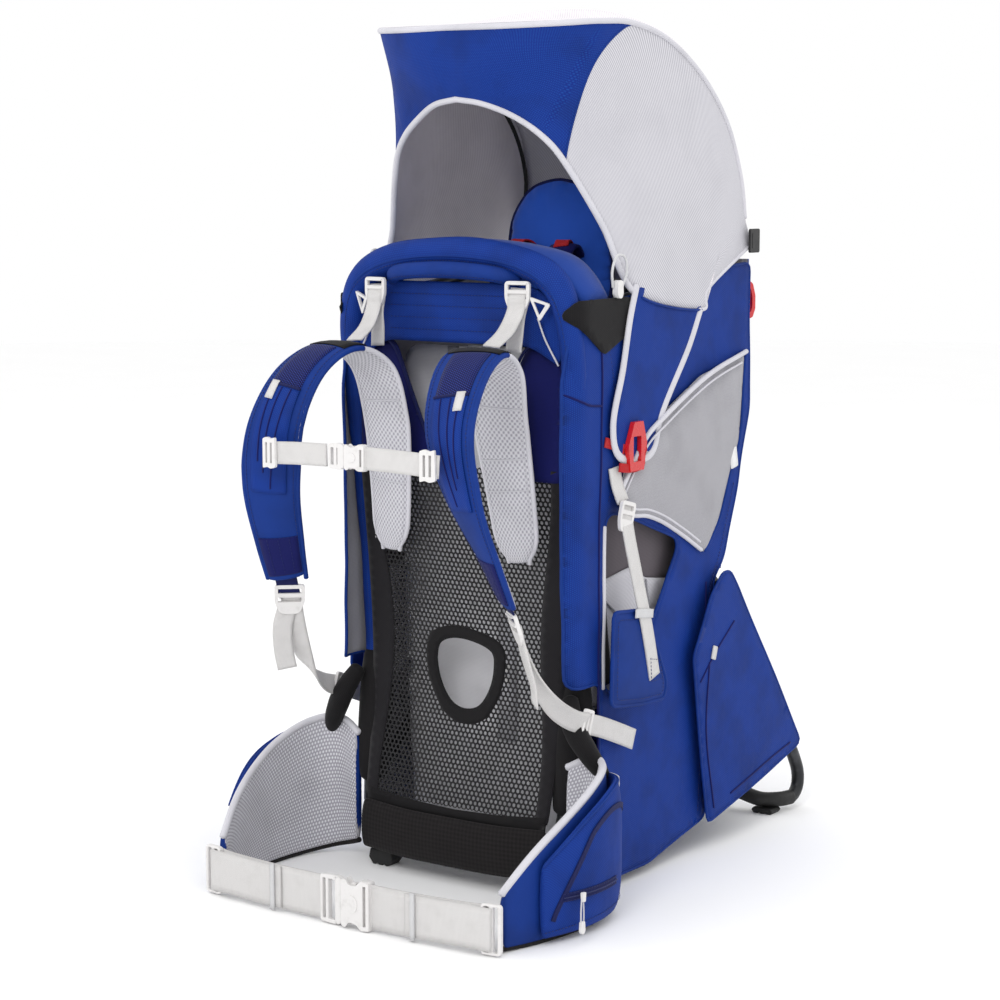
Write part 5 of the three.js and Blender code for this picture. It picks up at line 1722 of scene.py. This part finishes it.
def stirrup_sets():
    """Foot stirrups: a padded loop on a strap that hangs from a ladder lock."""
    cloth_line = rounded([(30, 216), (90, 208), (142, 206), (146, 226), (124, 268), (98, 314), (34, 320)], 8)

    def puff(sign):
        def x(y, z):
            far = edge_distance(np.stack([y, z], 1), np.array(cloth_line))
            return 180.6 + sign * (0.3 + 2.6 * (1 - np.exp(-far / 9)))
        return x

    front = cloth_panel(cloth_line, on_side(puff(1)), 7)
    rear = cloth_panel(cloth_line, on_side(puff(-1)), 7)
    pads = pair("stirrup_pad", merged([front, rear]), PLAIN_BLUE, "stirrup_{hand}", "blue_cloth", "stirrup")
    for obj in pads:
        puffed(obj, lambda p: np.abs(np.abs(p[:, 0]) - 180.6) < 0.5, pressure=3.0, cap=3)
    band = on_side(180.6)(resampled(cloth_line, 5))
    pair("stirrup_edge", tube(band, 2.2, 8, closed=True, side=(1, 0, 0)), PLAIN_BLUE, "stirrup_{hand}",
         "blue_cloth")
    for s, hand in HANDS:
        place = frame_of((s * 177, 64, 422), (0, -s, 0.25 * s), (0.05 * s, 0.3, 1))
        acetal_part(f"stirrup_lock_{hand}", ladder_lock(place, 28, 34), "frame")
        line = flip(s, [(175, 66, 436), (178, 66, 410), (182.5, 80, 350), (185, 98, 290), (184.6, 114, 236)])
        strap = taped(f"stirrup_webbing_{hand}", line, 50, (0, 1, 0.25), 21, 1.8)
        bridging(strap, line[1], line[4])
        keeper = flip(s, [(185.4, 72, 314), (186.2, 90, 312), (185.6, 108, 309)])
        loop = taped(f"stirrup_keeper_{hand}", keeper, 10, (0, 0, 1), 10, 1.4, ELASTIC)
        ridden(loop, f"stirrup_{hand}", "webbing")
        hang = flip(s, [(165, 58, 476), (168, 60, 456), (173, 64, 438)])
        ridden(taped(f"stirrup_hanger_{hand}", hang, 12, (0, 1, 0.2), 21, 2), "frame", "webbing")
        inner = rounded([(38, 222), (90, 215), (134, 213), (136, 228), (117, 266), (92, 305), (40, 311)], 6)
        tack = ((104, 258), (124, 254), (130, 232), (106, 232), (104, 258))
        sewn = [flip(s, on_side(183.6)(resampled(inner, 4))), flip(s, [(186.0, y, z) for y, z in tack])]
        stitched(f"stirrup_stitching_{hand}", sewn, f"stirrup_{hand}", mirror=False)


# ---- child's seat and head support


def pillow(outline, place, thick, step, edge, power=9.0):
    """A closed pad with a 2-D outline: two faces that part from its seam by up to half of thick."""
    line = rounded(outline, edge)
    faces = []
    for sign in (1, -1):
        def lifted(p, sign=sign):
            far = edge_distance(p, line)
            return place(p, sign * (thick / 2) * np.sqrt(np.clip(1 - np.exp(-far / power * 1.6), 0, 1)))
        faces.append(cloth_panel(line, lifted, step))
    return merged(faces), line


def child_seating():
    """The saddle, the head support, the front pad and the child's straps."""
    def on_y(centre):
        return lambda p, d: np.stack([p[:, 0], centre - d, p[:, 1]], 1)

    head = [(66, 588), (74, 690), (66, 745), (40, 779), (0, 789), (-40, 779), (-66, 745), (-74, 690)]
    shape, line = pillow([(-66, 588), *head], on_y(197), 22, 8, 16, 14)
    # The head support's pale cloth is painted light, against the sunshade's shade over it.
    obj = ridden(piece("head_support_pad", shape, HEAD_CLOTH), "child_seat", "blue_cloth", ["head_support"])
    puffed(obj, lambda p: np.abs(p[:, 1] - 197) < 0.5, cap=6)
    rim = facing(197)(resampled(line, 6))
    ridden(piece("head_support_piping", tube(rim, 2.0, 8, closed=True, side=(0, 1, 0)), NAVY_TAPE),
           "child_seat", "blue_cloth")
    channels = [
        np.array([(x, 185.6, z) for z in np.linspace(610, 770 - abs(x) * 0.7, 40)]) for x in (-26, 26)
    ]
    stitched("head_support_channels", channels, "child_seat", mirror=False)

    profile = rounded([(88, 268), (208, 258), (236, 274), (226, 580), (214, 580), (220, 300), (200, 286),
                       (92, 294)], 9, 5)
    section = resampled(profile, 9)
    rings = []
    for x in np.linspace(-78, 78, 21):
        tight = 1 - 0.28 * (abs(x) / 78) ** 5
        lift = 3.0 * math.cos(math.pi * x / 52) * 0.35
        middle = np.array([155, 277])
        near_seat = np.clip((330 - section[:, 1]) / 60, 0, 1)[:, None]
        ring = section.copy()
        ring[:, 1] += lift * near_seat[:, 0]
        thin = np.where(near_seat > 0, (ring - middle) * [1, tight] + middle, ring)
        rings.append([(x, y, z) for y, z in thin])
    obj = ridden(piece("saddle_seat", loft(rings), [SPACER_HEX]), "child_seat", "grey_mesh", ["child_seat"])

    for s, hand in HANDS:
        strap = flip(s, [(26, 184, 700), (30, 166, 712), (34, 142, 700), (36, 128, 640), (38, 126, 560),
                         (42, 136, 470), (54, 168, 380), (62, 206, 320)])
        band = taped(f"child_strap_{hand}", strap, 70, (1, 0, 0), 34, 3, NAVY_CLOTH, 2.2)
        ridden(band, "child_seat", "blue_cloth")
        tip = flip(s, [(24, 184, 690), (26, 174, 712), (30, 160, 718), (33, 150, 712)])
        end = taped(f"child_strap_end_{hand}", tip, 20, (1, 0, 0), 18, 2, RED_TAPE)
        ridden(end, "child_seat", "red_plastic")
    chest = frame_of((0, 120, 560), (1, 0, 0), (0, 0, 1))
    clip, button = round_box(-20, 20, -11, 11, 5), round_box(-8, 8, -6, 6, 3)
    parts = [(clip, chest, 7), (button, lambda p: chest(p) - [0, 4, 0], 2)]
    acetal_part("child_chest_clip", parts, "child_seat")
    across = [(-38, 126, 560), (0, 122, 560), (38, 126, 560)]
    band = taped("child_chest_strap", across, 12, (0, 0, 1), 18, 2, NAVY_TAPE)
    ridden(band, "child_seat", "blue_cloth")


def drool_pad():
    """The soft pad over the front rim, folded over it, with a pale piping along its front edge."""
    x = np.linspace(-157, 157, 53)
    profile = np.array([(4, 672), (1, 679), (4, 692), (24, 705), (44, 706), (62, 701), (78, 686), (77, 676),
                        (60, 680), (40, 684), (20, 682)], float)
    ring = smooth_line(profile, 40, closed=True)
    middle = ring.mean(0)
    rings = []
    for v in x:
        end = 1 - 0.45 * (abs(v) / 157) ** 6
        body = (ring - middle) * end + middle
        rings.append([(v, y, z + drool_rise(v)) for y, z in body])
    obj = ridden(piece("drool_pad_cloth", loft(rings), FLEECE_BLUE), "frame", "blue_cloth", ["drool_pad"])
    puffed(obj, lambda p: (np.abs(p[:, 0]) > 150) | (p[:, 2] - drool_rise(p[:, 0]) < 683), cap=5)
    edge = np.array([(v, -1.5 + 9 * (abs(v) / 157) ** 6, 680 + drool_rise(v)) for v in x])
    ridden(piece("drool_pad_piping", tube(edge, 1.9, 6), BINDING), "frame", "webbing")


def drool_rise(x):
    """How the drool pad arches over the rim, and droops past the columns."""
    return 22 * (1 - (x / 152) ** 2) - 6 - 24 * np.clip((np.abs(x) - 108) / 48, 0, 1) ** 2


def trims():
    """Small parts on the sunshade's hinge and rim: an elastic loop with its toggle, a blank tag and
    a red hook."""
    for s, hand in HANDS:
        loop_line = [(163, 56, 672), (166, 50, 690), (167, 58, 706), (168, 72, 704), (168, 76, 688),
                     (166, 70, 672)]
        path = smooth_line(flip(s, loop_line), 50)
        loop = piece(f"elastic_loop_{hand}", tube(path, 1.5, 10), ELASTIC)
        ridden(loop, "frame", "webbing")
        grip = [(0, 9), (5, 7), (6, -6), (3, -11), (-3, -11), (-6, -6), (-5, 7)]
        end = frame_of(flip(s, (165.5, 63, 671)), (0, 1, 0), (0, 0, 1))
        toggle = acetal_part(f"elastic_toggle_{hand}", [(rounded(grip, 2), end, 7.0)], "frame", (), 2.0)
        tuple(at(path[0]))
        at(path).tolist()
        tag = frame_of(flip(s, (173, 350, 716)), (0, 1, 0), (0, 0, 1))
        cover = hardware(f"hinge_tag_{hand}", [(round_box(-11, 11, -14, 14, 3), tag, 3.0),
                                               (round_box(-7, 7, -9, 9, 2), tag, 3.8)], TAG_BLACK)
        ridden(cover, "sunshade", "rubber")
        hook = frame_of(flip(s, (150, 380, 648)), (0.15 * s, 1, 0), (0, 0, 1))
        curl = [(-16, 20), (-6, 22), (4, 16), (9, 2), (9, -14), (4, -24), (-5, -26), (-10, -18), (-5, -15),
                (-1, -19), (3, -12), (3, 0), (0, 10), (-7, 14), (-16, 13)]
        ridden(hardware(f"rear_hook_{hand}", [(rounded(curl, 2, 3), hook, 7.0)], RED_ACETAL, 1.6), "frame",
               "red_plastic")


def lower_bag():
    """The storage compartment under the child: a lofted shell that sags between its seams."""
    section = rounded([(76, 24), (226, 24), (248, 60), (277, 100), (279, 220), (250, 236), (90, 236)], 18)
    ring = resampled(section, 9)
    middle = np.array([172, 132])
    rings = []
    for x in np.linspace(-132, 132, 25):
        end = 1 - 0.14 * (abs(x) / 132) ** 6
        sag = 1 - 0.02 * math.cos(math.pi * x / 66)
        rings.append([(x, y, z) for y, z in (ring - middle) * [end * sag, end] + middle])
    shape = loft(rings)
    ridden(piece("storage_bag_shell", shape, [PACK_CLOTH]), "frame", "blue_cloth", ["storage_bag"])


frame_tubes()
rubber_feet()
frame_covers()
yoke()
sunshade()
side_panels()
inner_panels()
side_details()
stirrup_sets()
child_seating()
drool_pad()
lower_bag()
trims()
kickstand_cloth()
hip_belt()
hip_details()
hip_webbing()
shoulder_pads()
pad_details()
harness_webbing()
lifters()
back_net()
yoke_flares()

{key: [list(corner) for corner in box] for key, box in (("cad", cad_box), ("visual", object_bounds()))}
